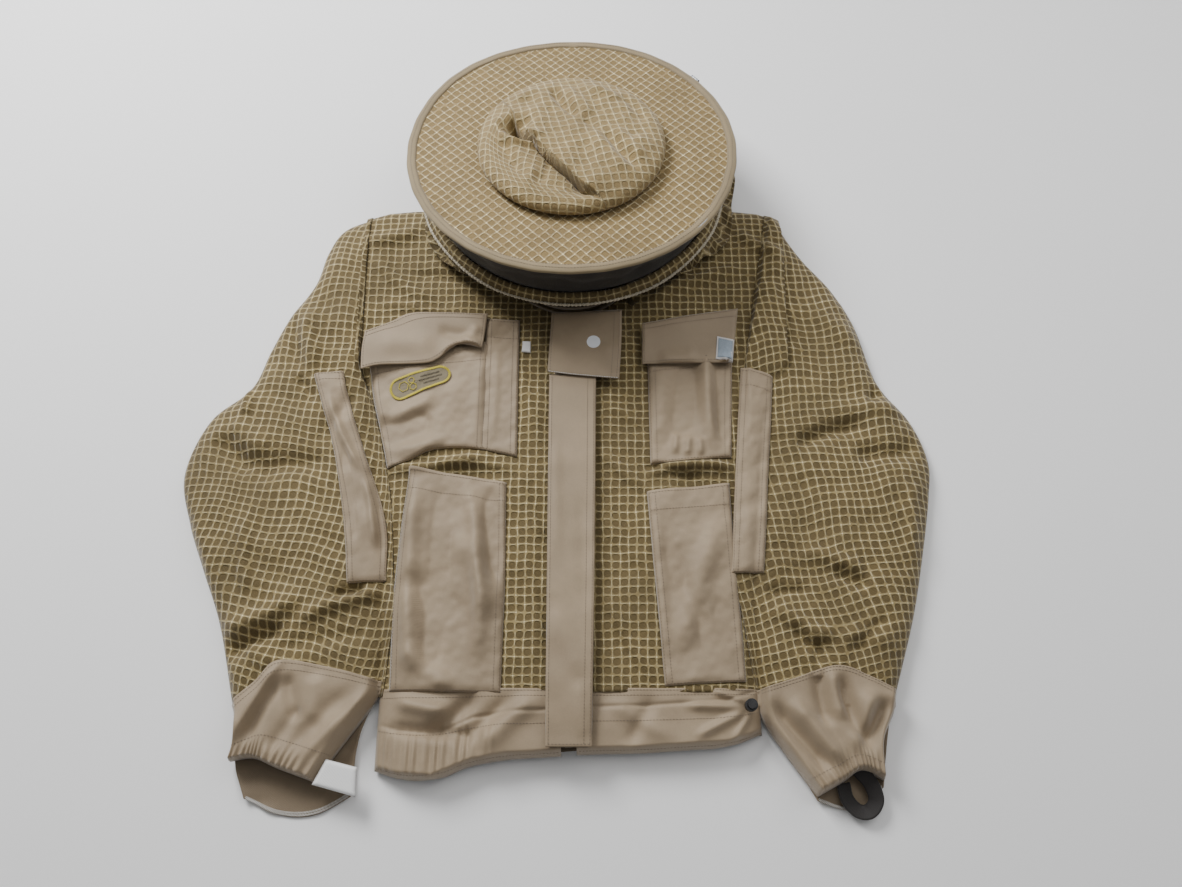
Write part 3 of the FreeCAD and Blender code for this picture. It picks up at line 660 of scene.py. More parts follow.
def waist_height(x, y):
    """Top of the waistband: gathered by the elastic on the left, pulled by the cord lock on the right."""
    across = np.clip(np.abs(x) / torso_half(y), 0, 1)
    above = y - np.interp(x, HEM_X, HEM_Y)
    loft = np.sqrt(np.clip(1 - across ** 9, 0, 1)) * np.sqrt(smooth((above + 1) / 9))
    gather = np.sin(x * 0.62 + 0.9 * np.sin(x * 0.23)) * smooth((-60 - x) / 60)
    gather = gather * np.exp(-((above - 22) / 20) ** 2)
    pull = strokes(x, y, (((150, -340), (188, -352), 4, 4), ((120, -356), (186, -357), 5, 4),
                          ((130, -388), (187, -360), 5, 4), ((170, -392), (192, -362), 4, 3),
                          ((40, -350), (110, -392), 9, 3), ((90, -345), (60, -398), 8, -3),
                          ((-30, -344), (-92, -402), 11, 6, 3), ((-96, -342), (-150, -386), 9, -6, -3),
                          ((-186, -350), (-120, -362), 8, 6, 2), ((-196, -376), (-96, -384), 7, -5, 2),
                          ((-60, -346), (-120, -400), 8, -4)))
    seam = -1.6 * np.exp(-((above - 47) / 2.2) ** 2)
    return 4 + (25 + 1.6 * gather + pull + seam + 0.9 * wander(x, y, 50, 31)) * loft


def waistband(side, name, node):
    """One half of the waistband's front."""
    near, far = side * 8, side * 204
    xs = sorted((near, far))
    foot = [(x, float(np.interp(x, HEM_X, HEM_Y))) for x in np.linspace(xs[0], xs[1], 9)]
    top = [(xs[0], -338), (xs[1], -338)]
    u, v, x, y = coons(foot, top, [foot[0], top[0]], [foot[-1], top[1]], 60, 190)
    z = waist_height(x, y) + 0.9
    return finish_cloth(cloth(name, x, y, z, arc_flat(x, y, z), 1.4), twill, "jacket", [node])


for word, side in (("left", LEFT), ("right", RIGHT)):
    waistband(side, f"{word}_waistband_cloth", f"{word}_waistband")


def waistband_back():
    """The waistband's back, with its elastic."""
    u, v, x, y = coons([(-204, -416), (204, -384)], [(-204, -338), (204, -338)],
                       [(-204, -416), (-204, -338)], [(204, -384), (204, -338)], 30, 120)
    z = 2.2 + 2.0 * np.abs(2 * u - 1) ** 20 + 0.5 * np.sin(x * 0.5) * (1 - v)
    piece = cloth("waistband_back_cloth", x, y, z, arc_flat(x, y, z), 1.4)
    return finish_cloth(piece, twill_painted_shade, "jacket", ["waistband_back", "waist_elastic"])


waistband_back()

# ---------------------------------------------------------------- sewn pockets


def pocket(name, grid, lift, node, folds, seed):
    """Patch pocket: sewn down on three sides, standing off the body by `lift`."""
    u, v, x, y = grid
    rim = rim_of(u, v, 0.05, 0.035, "lrb")
    hem = 0.7 * np.exp(-((v - 0.93) / 0.06) ** 6)
    puff = lift + strokes(x, y, folds) + 0.6 * wander(x, y, 45, seed) + hem
    puff = np.where(puff < 1, np.exp(np.minimum(puff, 1) - 1), puff)
    z = front_height(x, y) + 1.5 + puff * rim
    finish_cloth(cloth(name, x, y, z, arc_flat(x, y, z), 1.0), twill, "jacket", [node])
    topstitch(name, "jacket", (("l", 2), ("r", 2), ("b", 2.2), ("l", 8), ("r", 8), ("t", 3), ("t", 24)))


CHEST_LEFT = coons([(-211, -92), (-186, -83), (-162, -71), (-130, -69), (-100, -71)], [(-242, 50), (-98, 66)],
                   [(-211, -92), (-221, -50), (-235, 0), (-242, 50)], [(-100, -71), (-98, 66)], 70, 66)
pocket("left_chest_pocket_cloth", CHEST_LEFT, 3, "left_chest_pocket",
       (((-222, -56), (-164, -28), 12, -8), ((-214, -38), (-156, -6), 10, 5),
        ((-112, -60), (-106, 50), 6, 2), ((-204, -76), (-140, -56), 8, 3),
        ((-238, 20), (-216, -40), 9, 3)), 21)
pocket("pen_pocket_cloth", quad(((-104, -70), (-62, -79), (-63, 97), (-104, 97)), 70, 24), 2.4, "pen_pocket",
       (((-90, -60), (-88, 60), 5, 1.6),), 25)
pocket("right_chest_pocket_cloth", quad(((91, -88), (184, -80), (192, 66), (90, 50)), 70, 56), 3.5,
       "right_chest_pocket",
       (((160, 62), (163, -72), 8, 8, 3), ((179, 58), (178, -74), 7, -6, 2),
        ((138, 44), (124, -60), 13, -6, -4), ((104, 30), (106, -60), 9, 3),
        ((118, -78), (122, -50), 4, 3), ((132, -80), (136, -54), 4, 3), ((148, -80), (148, -56), 4, 3)), 23)
LOWER_LEFT = coons([(-191, -341), (-72, -343)], [(-184, -92), (-73, -111)],
                   [(-191, -341), (-193, -220), (-184, -92)], [(-72, -343), (-71, -230), (-73, -111)], 90, 60)
pocket("left_lower_pocket_cloth", LOWER_LEFT, 3.5, "left_lower_pocket",
       (((-174, -100), (-166, -330), 11, 9, 6), ((-146, -108), (-152, -336), 10, -9, -6),
        ((-116, -112), (-98, -310), 10, 9, -8), ((-186, -214), (-112, -262), 13, -5, 4),
        ((-124, -170), (-82, -266), 13, 6, -3), ((-90, -116), (-82, -230), 8, -7, 2),
        ((-184, -292), (-118, -338), 10, 4, 3)), 22)
pocket("right_lower_pocket_cloth", quad(((101, -336), (188, -331), (180, -111), (86, -121)), 90, 56), 3,
       "right_lower_pocket",
       (((172, -150), (118, -306), 14, 7, 6), ((106, -170), (166, -324), 10, -5, 4),
        ((160, -240), (176, -330), 9, -5), ((96, -140), (104, -300), 6, 2)), 24)

# ---------------------------------------------------------------- chest flaps, placket and throat tab


def cover(name, grid, height, body, nodes, bulge=1.2, folds=()):
    """Flat cover sewn along one edge: a chest flap, the placket or the throat tab."""
    u, v, x, y = grid
    rim = rim_of(u, v, 0.04, 0.05)
    z = height + (bulge + strokes(x, y, folds) + 0.5 * wander(x, y, 50, 40)) * rim
    piece = cloth(name, x, y, z, arc_flat(x, y, z), 1.3)
    finish_cloth(piece, twill, body, nodes)


FLAP_LEFT = coons([(-248, 28), (-226, 33), (-174, 35), (-158, 41), (-142, 55), (-130, 60), (-106, 55)],
                  [(-247, 78), (-218, 90), (-194, 102), (-157, 103), (-101, 101)],
                  [(-248, 28), (-249, 54), (-247, 78)], [(-106, 55), (-103, 78), (-101, 101)], 46, 90)
FLAP_RIGHT = coons([(83, 34), (130, 35), (190, 36)], [(84, 88), (140, 99), (200, 108)],
                   [(83, 34), (84, 88)], [(190, 36), (200, 108)], 40, 70)
PLACKET = coons([(-24, -398), (24, -398)], [(-26, 20), (29, 20)], [(-24, -398), (-25, -200), (-26, 20)],
                [(24, -398), (27, -200), (29, 20)], 190, 30)
TAB = coons([(-28, 22), (10, 17), (56, 13)], [(-24, 100), (60, 104)], [(-28, 22), (-26, 60), (-24, 100)],
            [(56, 13), (59, 60), (60, 104)], 50, 54)


def over_front(grid, least):
    """Height just over the body's front, never lower than `least`."""
    return np.maximum(front_height(grid[2], grid[3]) + 6, least)


cover("left_chest_flap_cloth", FLAP_LEFT, over_front(FLAP_LEFT, 40), "left_chest_flap", ["left_chest_flap"],
      folds=(((-150, 42), (-108, 62), 12, 7, 4), ((-232, 58), (-160, 62), 14, 2),
             ((-160, 80), (-112, 74), 7, -2.5, 3), ((-130, 62), (-110, 84), 6, 3)))
cover("right_chest_flap_cloth", FLAP_RIGHT, over_front(FLAP_RIGHT, 40), "right_chest_flap",
      ["right_chest_flap"], folds=(((100, 40), (150, 44), 10, 2), ((176, 36), (194, 40), 9, 4)))
cover("placket_cloth", PLACKET, np.full_like(PLACKET[2], 41.5) - 4.5 * smooth((-330 - PLACKET[3]) / 60),
      "placket", ["placket", "placket_seam"], bulge=1.0,
      folds=(((-18, -60), (-14, -200), 7, 1.6), ((12, -120), (18, -260), 8, -1.2),
             ((-20, -250), (14, -330), 10, 2), ((10, -330), (16, -395), 8, 2)))
cover("throat_tab_cloth", TAB, np.full_like(TAB[2], 44.8), "throat_tab", ["throat_tab"],
      folds=(((-20, 30), (20, 80), 16, 1.5), ((50, 20), (40, 60), 9, 1.5)))

# ---------------------------------------------------------------- sleeves

SLEEVES = {
    "left": {
        "side": LEFT,
        "cuff_seam": ((200, -330), (251, -317), (308, -309), (330, -330), (359, -354)),
        "inner": [(252, 40), (250, 30), (246, 18), (240, 4), (233, -14), (225, -42), (214, -84), (205, -126),
                  (199, -180), (195, -222), (190, -252), (194, -290), (199, -345)],
        "outer": [(256, 256), (292, 238), (310, 205), (322, 158), (349, 112), (368, 66), (386, 16),
                  (430, -26), (451, -92), (436, -152), (414, -204), (386, -268), (362, -350)],
        "folds": (((-340, 108), (-322, 26), 8, -4, 3), ((-322, 112), (-304, 30), 10, 6, 2),
                  ((-327, 26), (-300, -10), 6, -5), ((-410, -48), (-360, -96), 12, -8, 4),
                  ((-366, -98), (-278, -86), 12, -7, -6), ((-395, -30), (-350, -72), 11, 5, 3),
                  ((-386, 18), (-379, -28), 6, 6), ((-374, -306), (-306, -272), 9, -10, -3),
                  ((-380, -276), (-290, -238), 10, 7, 5), ((-263, -240), (-222, -231), 6, -8),
                  ((-300, -270), (-198, -233), 8, 7, -6), ((-367, -139), (-356, -241), 7, 4),
                  ((-320, -300), (-215, -282), 8, -4, -5), ((-250, 10), (-290, -60), 9, -4),
                  ((-430, -140), (-400, -230), 9, 3), ((-345, -290), (-318, -318), 7, 5)),
    },
    "right": {
        "side": RIGHT,
        "cuff_seam": ((200, -339), (240, -327), (285, -314), (320, -326), (350, -342)),
        "inner": [(206, 40), (205, 30), (204, 18), (202, 4), (200, -14), (197, -42), (190, -84), (186, -126),
                  (181, -180), (178, -222), (186, -252), (192, -290), (201, -342)],
        "outer": [(246, 262), (260, 248), (276, 218), (294, 190), (324, 150), (348, 100), (368, 24),
                  (402, -26), (418, -75), (414, -118), (400, -182), (380, -258), (350, -344)],
        "folds": (((258, -62), (342, -39), 9, -8, -4), ((324, -77), (410, -60), 13, -8, 4),
                  ((300, -20), (395, -10), 12, 5, 3), ((366, 12), (352, -8), 6, -6),
                  ((252, -189), (322, -214), 9, 6, -4), ((289, -210), (328, -230), 8, -7),
                  ((222, -250), (285, -286), 9, 7, 4), ((240, -270), (262, -300), 6, -5),
                  ((285, -286), (352, -288), 9, 5, -4), ((267, -284), (267, -314), 6, -7),
                  ((300, -300), (345, -262), 7, -5), ((260, 200), (230, 100), 10, 3),
                  ((270, 120), (350, 70), 12, 3), ((215, -235), (262, -232), 6, -4),
                  ((390, -110), (380, -200), 8, 3)),
    },
}
SLEEVE_LOFT = 29.0
CUFF_TUCK = 9.0     # how far a sleeve's end is pressed down under its cuff
SLEEVE_STATIONS = 170
SLEEVE_ACROSS = 96
SLEEVE_MIDDLE = (315.0, -100.0)
BEND_START = (264.0, 34.0)
BEND_END = (230.0, -62.0)


def bend_of(word, side):
    start = (side * BEND_START[0] * MM, BEND_START[1] * MM, 0.02)
    end = (side * BEND_END[0] * MM, BEND_END[1] * MM, 0.02)
    return ("jacket", f"{word}_sleeve", start, end)


def sleeve_grid(shape):
    """Grid over a sleeve's outline: share down and across it, and place."""
    inner = curve_through(shape["inner"], SLEEVE_STATIONS)
    outer = curve_through(shape["outer"], SLEEVE_STATIONS)
    t = np.linspace(0, 1, SLEEVE_ACROSS)[None, :]
    t = 0.5 - 0.5 * np.cos(np.pi * t) * (0.55 + 0.45 * np.abs(np.cos(np.pi * t)))
    x = shape["side"] * (inner[:, :1] * (1 - t) + outer[:, :1] * t)
    y = inner[:, 1:] * (1 - t) + outer[:, 1:] * t
    s = np.linspace(0, 1, SLEEVE_STATIONS)[:, None] * np.ones_like(t)
    return s, t * np.ones_like(s), x, y


def sleeve_height(shape, s, t, x, y):
    """Top of a sleeve: a flattened tube that rests on the body where it laps over it."""
    own = SLEEVE_LOFT * np.clip(1 - np.abs(2 * t - 1) ** 5, 0, 1) ** 0.5
    seed = 50 + shape["side"]
    soft = 1.8 * wander(x, y, 90, seed) + 0.9 * wander(x, y, 36, seed + 5) + 0.35 * wander(x, y, 14, seed + 9)
    edge = smooth(np.minimum(t, 1 - t) / 0.08)
    under = np.where(np.abs(x) < torso_half(y), front_height(x, y) + 2.5, 1.0)
    at_seam = smooth(s / 0.05)
    top = np.maximum(own, under + 5 * edge * at_seam)
    top = top + (soft + strokes(x, y, shape["folds"])) * edge * (0.25 + 0.75 * at_seam)
    seam = np.interp(np.abs(x), *np.array(shape["cuff_seam"]).T)
    tucked = CUFF_TUCK * smooth((seam - 3 - y) / 9) * (np.abs(x) > torso_half(y))
    return np.maximum(top - tucked, 1.2)


def sleeve_map(side, x, y, z):
    """Place on the cut sleeve: nearly the place on the table, turned a little and drawn by the folds,
    with the height climbed at both edges added."""
    climb = np.diff(z, axis=1, prepend=z[:, :1])
    run = np.diff(x, axis=1, prepend=x[:, :1])
    extra = np.cumsum(np.hypot(climb, run) - np.abs(run), axis=1)
    extra = extra - extra[:, x.shape[1] // 2][:, None]
    turn = side * np.radians(-4 - 6 * smooth((-y - 40) / 200))
    across, up = x - side * SLEEVE_MIDDLE[0], y - SLEEVE_MIDDLE[1]
    u = across * np.cos(turn) - up * np.sin(turn) + 3.5 * wander(x, y, 120, 91) + side * extra
    v = across * np.sin(turn) + up * np.cos(turn) + 3.5 * wander(x, y, 120, 92)
    return np.stack([u, v], -1)


def sleeve(word):
    """A sleeve's upper and under cloth, both baked in place."""
    shape = SLEEVES[word]
    side = shape["side"]
    s, t, x, y = sleeve_grid(shape)
    z = sleeve_height(shape, s, t, x, y)
    profile = SLEEVE_LOFT * np.clip(1 - np.abs(2 * t - 1) ** 5, 0, 1) ** 0.5
    flat = sleeve_map(side, x, y, profile)
    front = cloth(f"{word}_sleeve_cloth", x, y, z, flat, 1.6)
    finish_cloth(front, mesh_cloth, bend_of(word, side), [f"{word}_sleeve", f"{word}_sleeve_head"])
    step = slice(None, None, 3)
    xb, yb = x[step, step], y[step, step]
    under = np.where(np.abs(xb) < torso_half(yb), front_height(xb, yb) + 1.2, 1.0)
    back = cloth(f"{word}_sleeve_back", xb, yb, under, flat[step, step], 0.8)
    finish_cloth(back, mesh_cloth, bend_of(word, side), [])
    return front


for word in SLEEVES:
    sleeve(word)

# ---------------------------------------------------------------- cuffs


def sleeve_top_at(shape):
    """Function giving a sleeve's height at any place, from the nearest point of its grid."""
    s, t, x, y = sleeve_grid(shape)
    z = sleeve_height(shape, s, t, x, y)
    tree = KDTree(x.size)
    for index, (px, py) in enumerate(zip(x.ravel(), y.ravel())):
        tree.insert((px, py, 0), index)
    tree.balance()
    heights = z.ravel()

    def height(px, py):
        out = np.zeros(np.size(px))
        for k, (a, b) in enumerate(zip(np.ravel(px), np.ravel(py))):
            near = tree.find_n((a, b, 0), 4)
            weights = [1 / (found[2] + 0.2) for found in near]
            out[k] = sum(w * heights[found[1]] for w, found in zip(weights, near)) / sum(weights)
        return out.reshape(np.shape(px))
    return height


def cuff(word, grid, folds, gather_from, inside):
    """Gathered cuff: an upper layer over a lower one that shows at the opening, coloured darker as painted
    shade.
    """
    u, v, x, y = grid
    rim = rim_of(u, v, 0.07, 0.05, "lrb")
    gathers = np.sin(u * 95 + 2.2 * np.sin(u * 17)) * smooth((gather_from - v) / 0.25) * 1.7
    z = 8 + (23 + strokes(x, y, folds) + gathers + 0.8 * wander(x, y, 32, 61)) * rim
    z = np.maximum(z, sleeve_top_at(SLEEVES[word])(x, y) * smooth((y + 362) / 8) + 1.4)
    piece = cloth(f"{word}_cuff_cloth", x, y, z, arc_flat(x, y, z), 1.4)
    finish_cloth(piece, twill, f"{word}_sleeve", [f"{word}_cuff"])
    u, v, x, y = inside
    z = 2.0 + 5.5 * np.abs(2 * u - 1) ** 6 + 1.2 * wander(x, y, 40, 62) ** 2
    back = cloth(f"{word}_cuff_back", x, y, z, arc_flat(x, y, z), 1.2)
    return finish_cloth(back, twill_painted_shade, f"{word}_sleeve", [])


cuff("left",
     coons([(-355, -411), (-330, -408), (-304, -418), (-263, -432)],
           [(-359, -354), (-330, -330), (-308, -309), (-251, -317), (-200, -330)],
           [(-355, -411), (-352, -385), (-359, -354)],
           [(-263, -432), (-240, -398), (-206, -350), (-200, -330)], 70, 90),
     (((-304, -306), (-352, -396), 8, 7, 0, -0.6), ((-306, -326), (-338, -394), 7, -4),
      ((-298, -322), (-282, -372), 8, -5, 3), ((-284, -356), (-312, -402), 8, -4, -2),
      ((-206, -338), (-278, -412), 7, 4), ((-226, -336), (-292, -404), 9, -3, 3),
      ((-268, -322), (-262, -376), 10, 3, 2)), 0.3,
     coons([(-336, -447), (-299, -463), (-262, -463), (-226, -445)], [(-356, -352), (-202, -332)],
           [(-336, -447), (-350, -410), (-356, -352)], [(-226, -445), (-222, -385), (-202, -332)], 50, 50))
cuff("right",
     coons([(257, -446), (284, -432), (304, -421), (328, -430)],
           [(200, -339), (240, -327), (285, -314), (320, -326), (350, -342)],
           [(257, -446), (226, -403), (203, -366), (200, -339)],
           [(328, -430), (331, -391), (345, -362), (350, -342)], 70, 90),
     (((264, -316), (270, -378), 8, -7, 2), ((277, -316), (284, -372), 8, 5, 2),
      ((288, -322), (308, -396), 8, -8, 3), ((212, -350), (272, -422), 8, -8, 2),
      ((234, -350), (284, -414), 9, 7, 2), ((338, -348), (306, -402), 8, -7, 2),
      ((322, -338), (292, -404), 9, 6, 2)), 0.26,
     coons([(258, -449), (284, -458), (306, -458), (326, -436)], [(202, -341), (346, -342)],
           [(258, -449), (236, -410), (202, -341)], [(326, -436), (334, -395), (346, -342)], 50, 50))

# ---------------------------------------------------------------- tool pockets on the sleeves

TOOL_POCKETS = {
    "left": coons([(-244, -226), (-203, -222)], [(-305, 25), (-270, 29)],
                  [(-244, -226), (-254, -155), (-272, -73), (-295, -4), (-305, 25)],
                  [(-203, -222), (-208, -155), (-240, -66), (-262, -4), (-270, 29)], 110, 30),
    "right": coons([(177, -215), (213, -214)], [(200, 32), (238, 22)],
                   [(177, -215), (188, -92), (200, 32)], [(213, -214), (226, -92), (238, 22)], 110, 30),
}
TOOL_FOLDS = {"left": (((-285, 0), (-236, -100), 5, 5, 4), ((-236, -100), (-216, -190), 5, 5, -3),
                       ((-262, -60), (-240, -180), 5, -4), ((-228, -90), (-208, -140), 5, -4)),
              "right": (((205, -60), (222, -60), 7, 1), ((192, -150), (218, -150), 8, 1))}


for word, grid in TOOL_POCKETS.items():
    u, v, x, y = grid
    rim = rim_of(u, v, 0.12, 0.03, "lrb")
    on_sleeve = sleeve_top_at(SLEEVES[word])
    z = on_sleeve(x, y) + 1.8 + np.maximum(2.6 + strokes(x, y, TOOL_FOLDS[word]), 0.4) * rim
    name = f"{word}_tool_pocket_cloth"
    bend = bend_of(word, SLEEVES[word]["side"])
    piece = cloth(name, x, y, z, arc_flat(x, y, z), 1.0)
    finish_cloth(piece, twill, bend, [f"{word}_tool_pocket"])
    topstitch(name, bend, (("l", 2), ("r", 2), ("l", 7), ("r", 7), ("b", 2), ("t", 3), ("t", 22)))

# ---------------------------------------------------------------- hood and hat: turned cloth


class Leaning:
    """Frame of the hood or the hat: an origin, and a plane leaning back about X."""

    def __init__(self, along, up, degrees):
        self.along, self.up = along, up
        self.cos, self.sin = math.cos(math.radians(degrees)), math.sin(math.radians(degrees))

    def out(self, x, y, z):
        return (np.asarray(x, float) + 0 * z, self.along + y * self.cos + z * self.sin,
                self.up - y * self.sin + z * self.cos)


HOOD = Leaning(268, 52, 6.0)        # the hood's hoop, tipped back on the jacket's neck
HAT = Leaning(281, 119, 10.1)       # the hat, resting on the slack veil
UPRIGHT = Leaning(0, 0, 0.0)
HOOP_AHEAD = 15.0                   # the hoop's middle lies this far towards the shoulders' back
HOOP_RADIUS = 181.0
BRIM_RADIUS = 189.0
BRIM_HOLE = 93.0
ROUND = 241                         # columns in a piece that goes all the way round


def round_grid(rows, columns):
    """Grid that goes once round, starting at the back: share of the way along, and angle."""
    angle = np.linspace(0, math.tau, columns) + math.pi / 2
    return np.meshgrid(np.linspace(0, 1, rows), angle, indexing="ij")


def turned(name, frame_of, centre_y, profile, material, body, nodes, rows=24, ripple=None, thick=1.0,
           planar=False):
    """Cloth turned about an upright line: a profile of (radius, height) points, with ripples."""
    line = curve_through(profile, rows)
    theta = np.linspace(0, math.tau, ROUND)[None, :] + math.pi / 2
    v = np.linspace(0, 1, rows)[:, None]
    radius = line[:, :1] + 0 * theta
    height = line[:, 1:] + 0 * theta
    if ripple is not None:
        change = ripple(theta, v)
        radius, height = radius + change[0], height + change[1]
    x, y = radius * np.cos(theta), centre_y + radius * np.sin(theta)
    if planar:
        flat = np.stack([x, y], -1)
    else:
        step = np.hypot(*np.diff(line, axis=0, prepend=line[:1]).T)
        flat = np.stack([(theta - math.pi / 2) * float(line[:, 0].mean()) + 0 * v,
                         np.cumsum(step)[:, None] + 0 * theta], -1)
    piece = cloth(name, *frame_of.out(x, y, height), flat, thick, closed=True)
    return finish_cloth(piece, material, body, nodes)


# Collar and the ring zip's tapes
def slight(amount, count, seed):
    """Ripple that keeps a turned piece from looking machined."""
    phase = np.random.default_rng(seed).uniform(0, math.tau, 3)

    def ripple(theta, v):
        wave = np.sin(count * theta + phase[0]) + 0.6 * np.sin((2 * count + 1) * theta + phase[1] + 2 * v)
        return amount * wave, 0.4 * amount * np.sin((count + 2) * theta + phase[2]) + 0 * v
    return ripple


turned("collar_cloth", UPRIGHT, NECK[1], [(80.4, 5), (81, 20), (80.8, 32), (81.6, 41.6), (82.6, 41)],
       twill, "jacket", ["collar_band"], ripple=slight(0.3, 5, 1))
turned("collar_tape_cloth", UPRIGHT, NECK[1], [(82.8, 34), (83.6, 38), (83.4, 43)], zip_tape, "jacket",
       ["collar_zip_tape"], rows=8, thick=0.8)
turned("hood_tape_cloth", UPRIGHT, NECK[1], [(83.4, 46.5), (83.6, 49), (83.0, 51.2)], zip_tape, "hood",
       ["hood_zip_tape"], rows=8, thick=0.8)


def neck_cloth():
    """Cloth between the collar and the hoop, bunched where it spills past the hoop at both sides."""
    rows, columns = 46, 320
    v, turn = round_grid(rows, columns)
    c, s = np.cos(turn), np.sin(turn)
    right_side = np.exp(-((turn - math.radians(342)) / 0.42) ** 2)
    right_side = right_side + np.exp(-((turn - math.radians(365)) / 0.3) ** 2)
    left_side = np.exp(-((turn - math.radians(208)) / 0.34) ** 2)
    spill = 25 * np.clip(right_side, 0, 1) + 15 * left_side
    inner_x, inner_y = 84.5 * c, -82 + 84.5 * s
    reach = HOOP_RADIUS - 1 + spill * (1 + 0.12 * np.sin(turn * 13))
    outer_x, outer_y = reach * c, HOOP_AHEAD + reach * s
    swell = np.sin(np.pi * v)
    ease = v ** 0.9
    x = inner_x * (1 - ease) + outer_x * ease
    y = inner_y * (1 - ease) + outer_y * ease
    rumple = 5 * wander(x, y, 46, 71) + 2.4 * wander(x, y, 24, 72) + 0.5 * wander(x, y, 10, 73)
    sunk = np.clip(spill / 12, 0, 1) * smooth((v - 0.55) / 0.4)
    z = -1.5 + rumple * (0.35 * swell + 0.9 * sunk) - 15 * sunk
    z = np.minimum(z, 2.6 - 3.5 * smooth((v - 0.8) / 0.1))
    wx, wy, wz = HOOD.out(x, y, z)
    over = np.where((np.abs(wx) < 262) & (wy < torso_top(wx)), 34.5, 3.0)
    wz = np.maximum(wz, over + 0.6 * rumple)
    turned_map = np.stack([wx * 0.8 - wy * 0.6, wx * 0.6 + wy * 0.8], -1) + 0.8 * rumple[..., None]
    piece = cloth("hood_neck_mesh", wx, wy, wz, turned_map, 1.2, closed=True)
    return finish_cloth(piece, shaded_mesh, "hood", ["hood_neck_cloth"])


neck_cloth()
turned("hoop_casing_cloth", HOOD, HOOP_AHEAD,
       [(177.5, 10.0), (179.5, 10.6), (183, 8.8), (187, 4.2), (188.2, 1.2)], mesh_cloth, "hood",
       ["hoop_casing"], rows=12, ripple=slight(0.5, 9, 3), thick=1.2)


def corded_edge():
    """Overlocked edge below the hoop: a lumpy cord wound with pale thread."""
    count = 1400
    turn = np.linspace(0, math.tau, count, endpoint=False)
    lumps = 1.7 + 0.45 * np.sin(turn * 260) + 0.2 * np.sin(turn * 97)
    radius = 188.6 + 0.5 * np.sin(turn * 11)
    x, y = radius * np.cos(turn), HOOP_AHEAD + radius * np.sin(turn)
    line = np.stack(HOOD.out(x, y, 1.4 + 0.5 * np.sin(turn * 7)), -1)
    piece = tube("corded_edge", line, lumps, 7, closed=True)
    dress(piece, cord_edge)
    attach(piece, "hood")
    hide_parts("hoop_piping")


corded_edge()


def veil():
    """Black net from the hoop up to the underside of the brim, slack and softly rippled."""
    rows = 44
    v, turn = round_grid(rows, ROUND)
    c, s = np.cos(turn), np.sin(turn)
    foot = np.stack(HOOD.out(175.5 * c, HOOP_AHEAD + 175.5 * s, 10.2 + 0 * c), -1)
    head = np.stack(HAT.out(178.0 * c, 178.0 * s, -3.2 + 0 * c), -1)
    middle = (1 - v[..., None]) * foot + v[..., None] * head
    slack = np.sin(np.pi * v)
    ripples = 2.2 * np.sin(9 * turn + 2.5 * v) + 1.2 * np.sin(23 * turn - 3 * v)
    push = slack * (2.0 + ripples + 1.4 * np.sin(4 * np.pi * v))
    middle[..., 0] += push * c
    middle[..., 1] += push * s
    x, y, z = middle[..., 0], middle[..., 1], middle[..., 2]
    piece = cloth("veil_cloth", x, y, z, arc_flat(x, y, z), 0.6, closed=True)
    dress(piece, veil_net)
    declare(piece)
    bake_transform(piece)
    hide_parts("veil_mesh")


def brim_wave(theta, v):
    """How far the brim's edge lifts and dips round the hat, fading to nothing at the crown."""
    wave = 1.3 * np.sin(3 * theta + 0.6) + 0.7 * np.sin(5 * theta + 2)
    return 0 * theta + 0 * v, wave * (1 - v) + 0 * theta


turned("hat_brim_cloth", HAT, 0, [(BRIM_RADIUS + 0.5, 1.6), (150, 1.9), (120, 2.0), (BRIM_HOLE + 4, 2.2)],
       hat_cloth, "hat", ["hat_brim"], rows=40, ripple=brim_wave, thick=3.0, planar=True)
veil()
turned("sweatband_cloth", HAT, 0, [(91.6, -13), (92, 0), (91.6, 13)], twill, "hat", ["sweatband"], rows=8)


def binding_wave(theta, v):
    """The brim's wave with a fine pucker round the binding."""
    return 0.25 * np.sin(31 * theta) + 0 * v, brim_wave(theta, 0 * v)[1] + 0 * v


turned("brim_binding_cloth", HAT, 0,
       [(184.6, 2.0), (187.5, 3.4), (191.5, 3.4), (195.2, 2.1), (196.2, 0), (195.2, -2.1), (191, -3.3),
        (185, -3.2)], binding_tape, "hat", ["brim_binding"], rows=34, ripple=binding_wave, thick=0.8)


FERRULE_FROM, FERRULE_TO = 37.0, 40.5       # degrees round the hat
FERRULE_OUT = 197.2                         # from the hat's middle
FERRULE_THICK = 2.1
CRIMP = 0.5                                 # how far each of its three crimps is pressed in


def ferrule():
    """Crimped tube where the ends of the brim's wire meet, poking out of the binding."""
    turn = np.radians(np.linspace(FERRULE_FROM, FERRULE_TO, 16))
    x, y = FERRULE_OUT * np.cos(turn), FERRULE_OUT * np.sin(turn)
    line = np.stack(HAT.out(x, y, 0.4 + 0 * turn), -1)
    pinch = FERRULE_THICK - CRIMP * np.sin(np.linspace(0, 3 * math.pi, 16)) ** 2
    piece = tube("ferrule", line, pinch, 12)
    dress(piece, steel)
    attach(piece, "hat")
    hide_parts("wire_ferrule")


ferrule()

# ---------------------------------------------------------------- collapsed crown

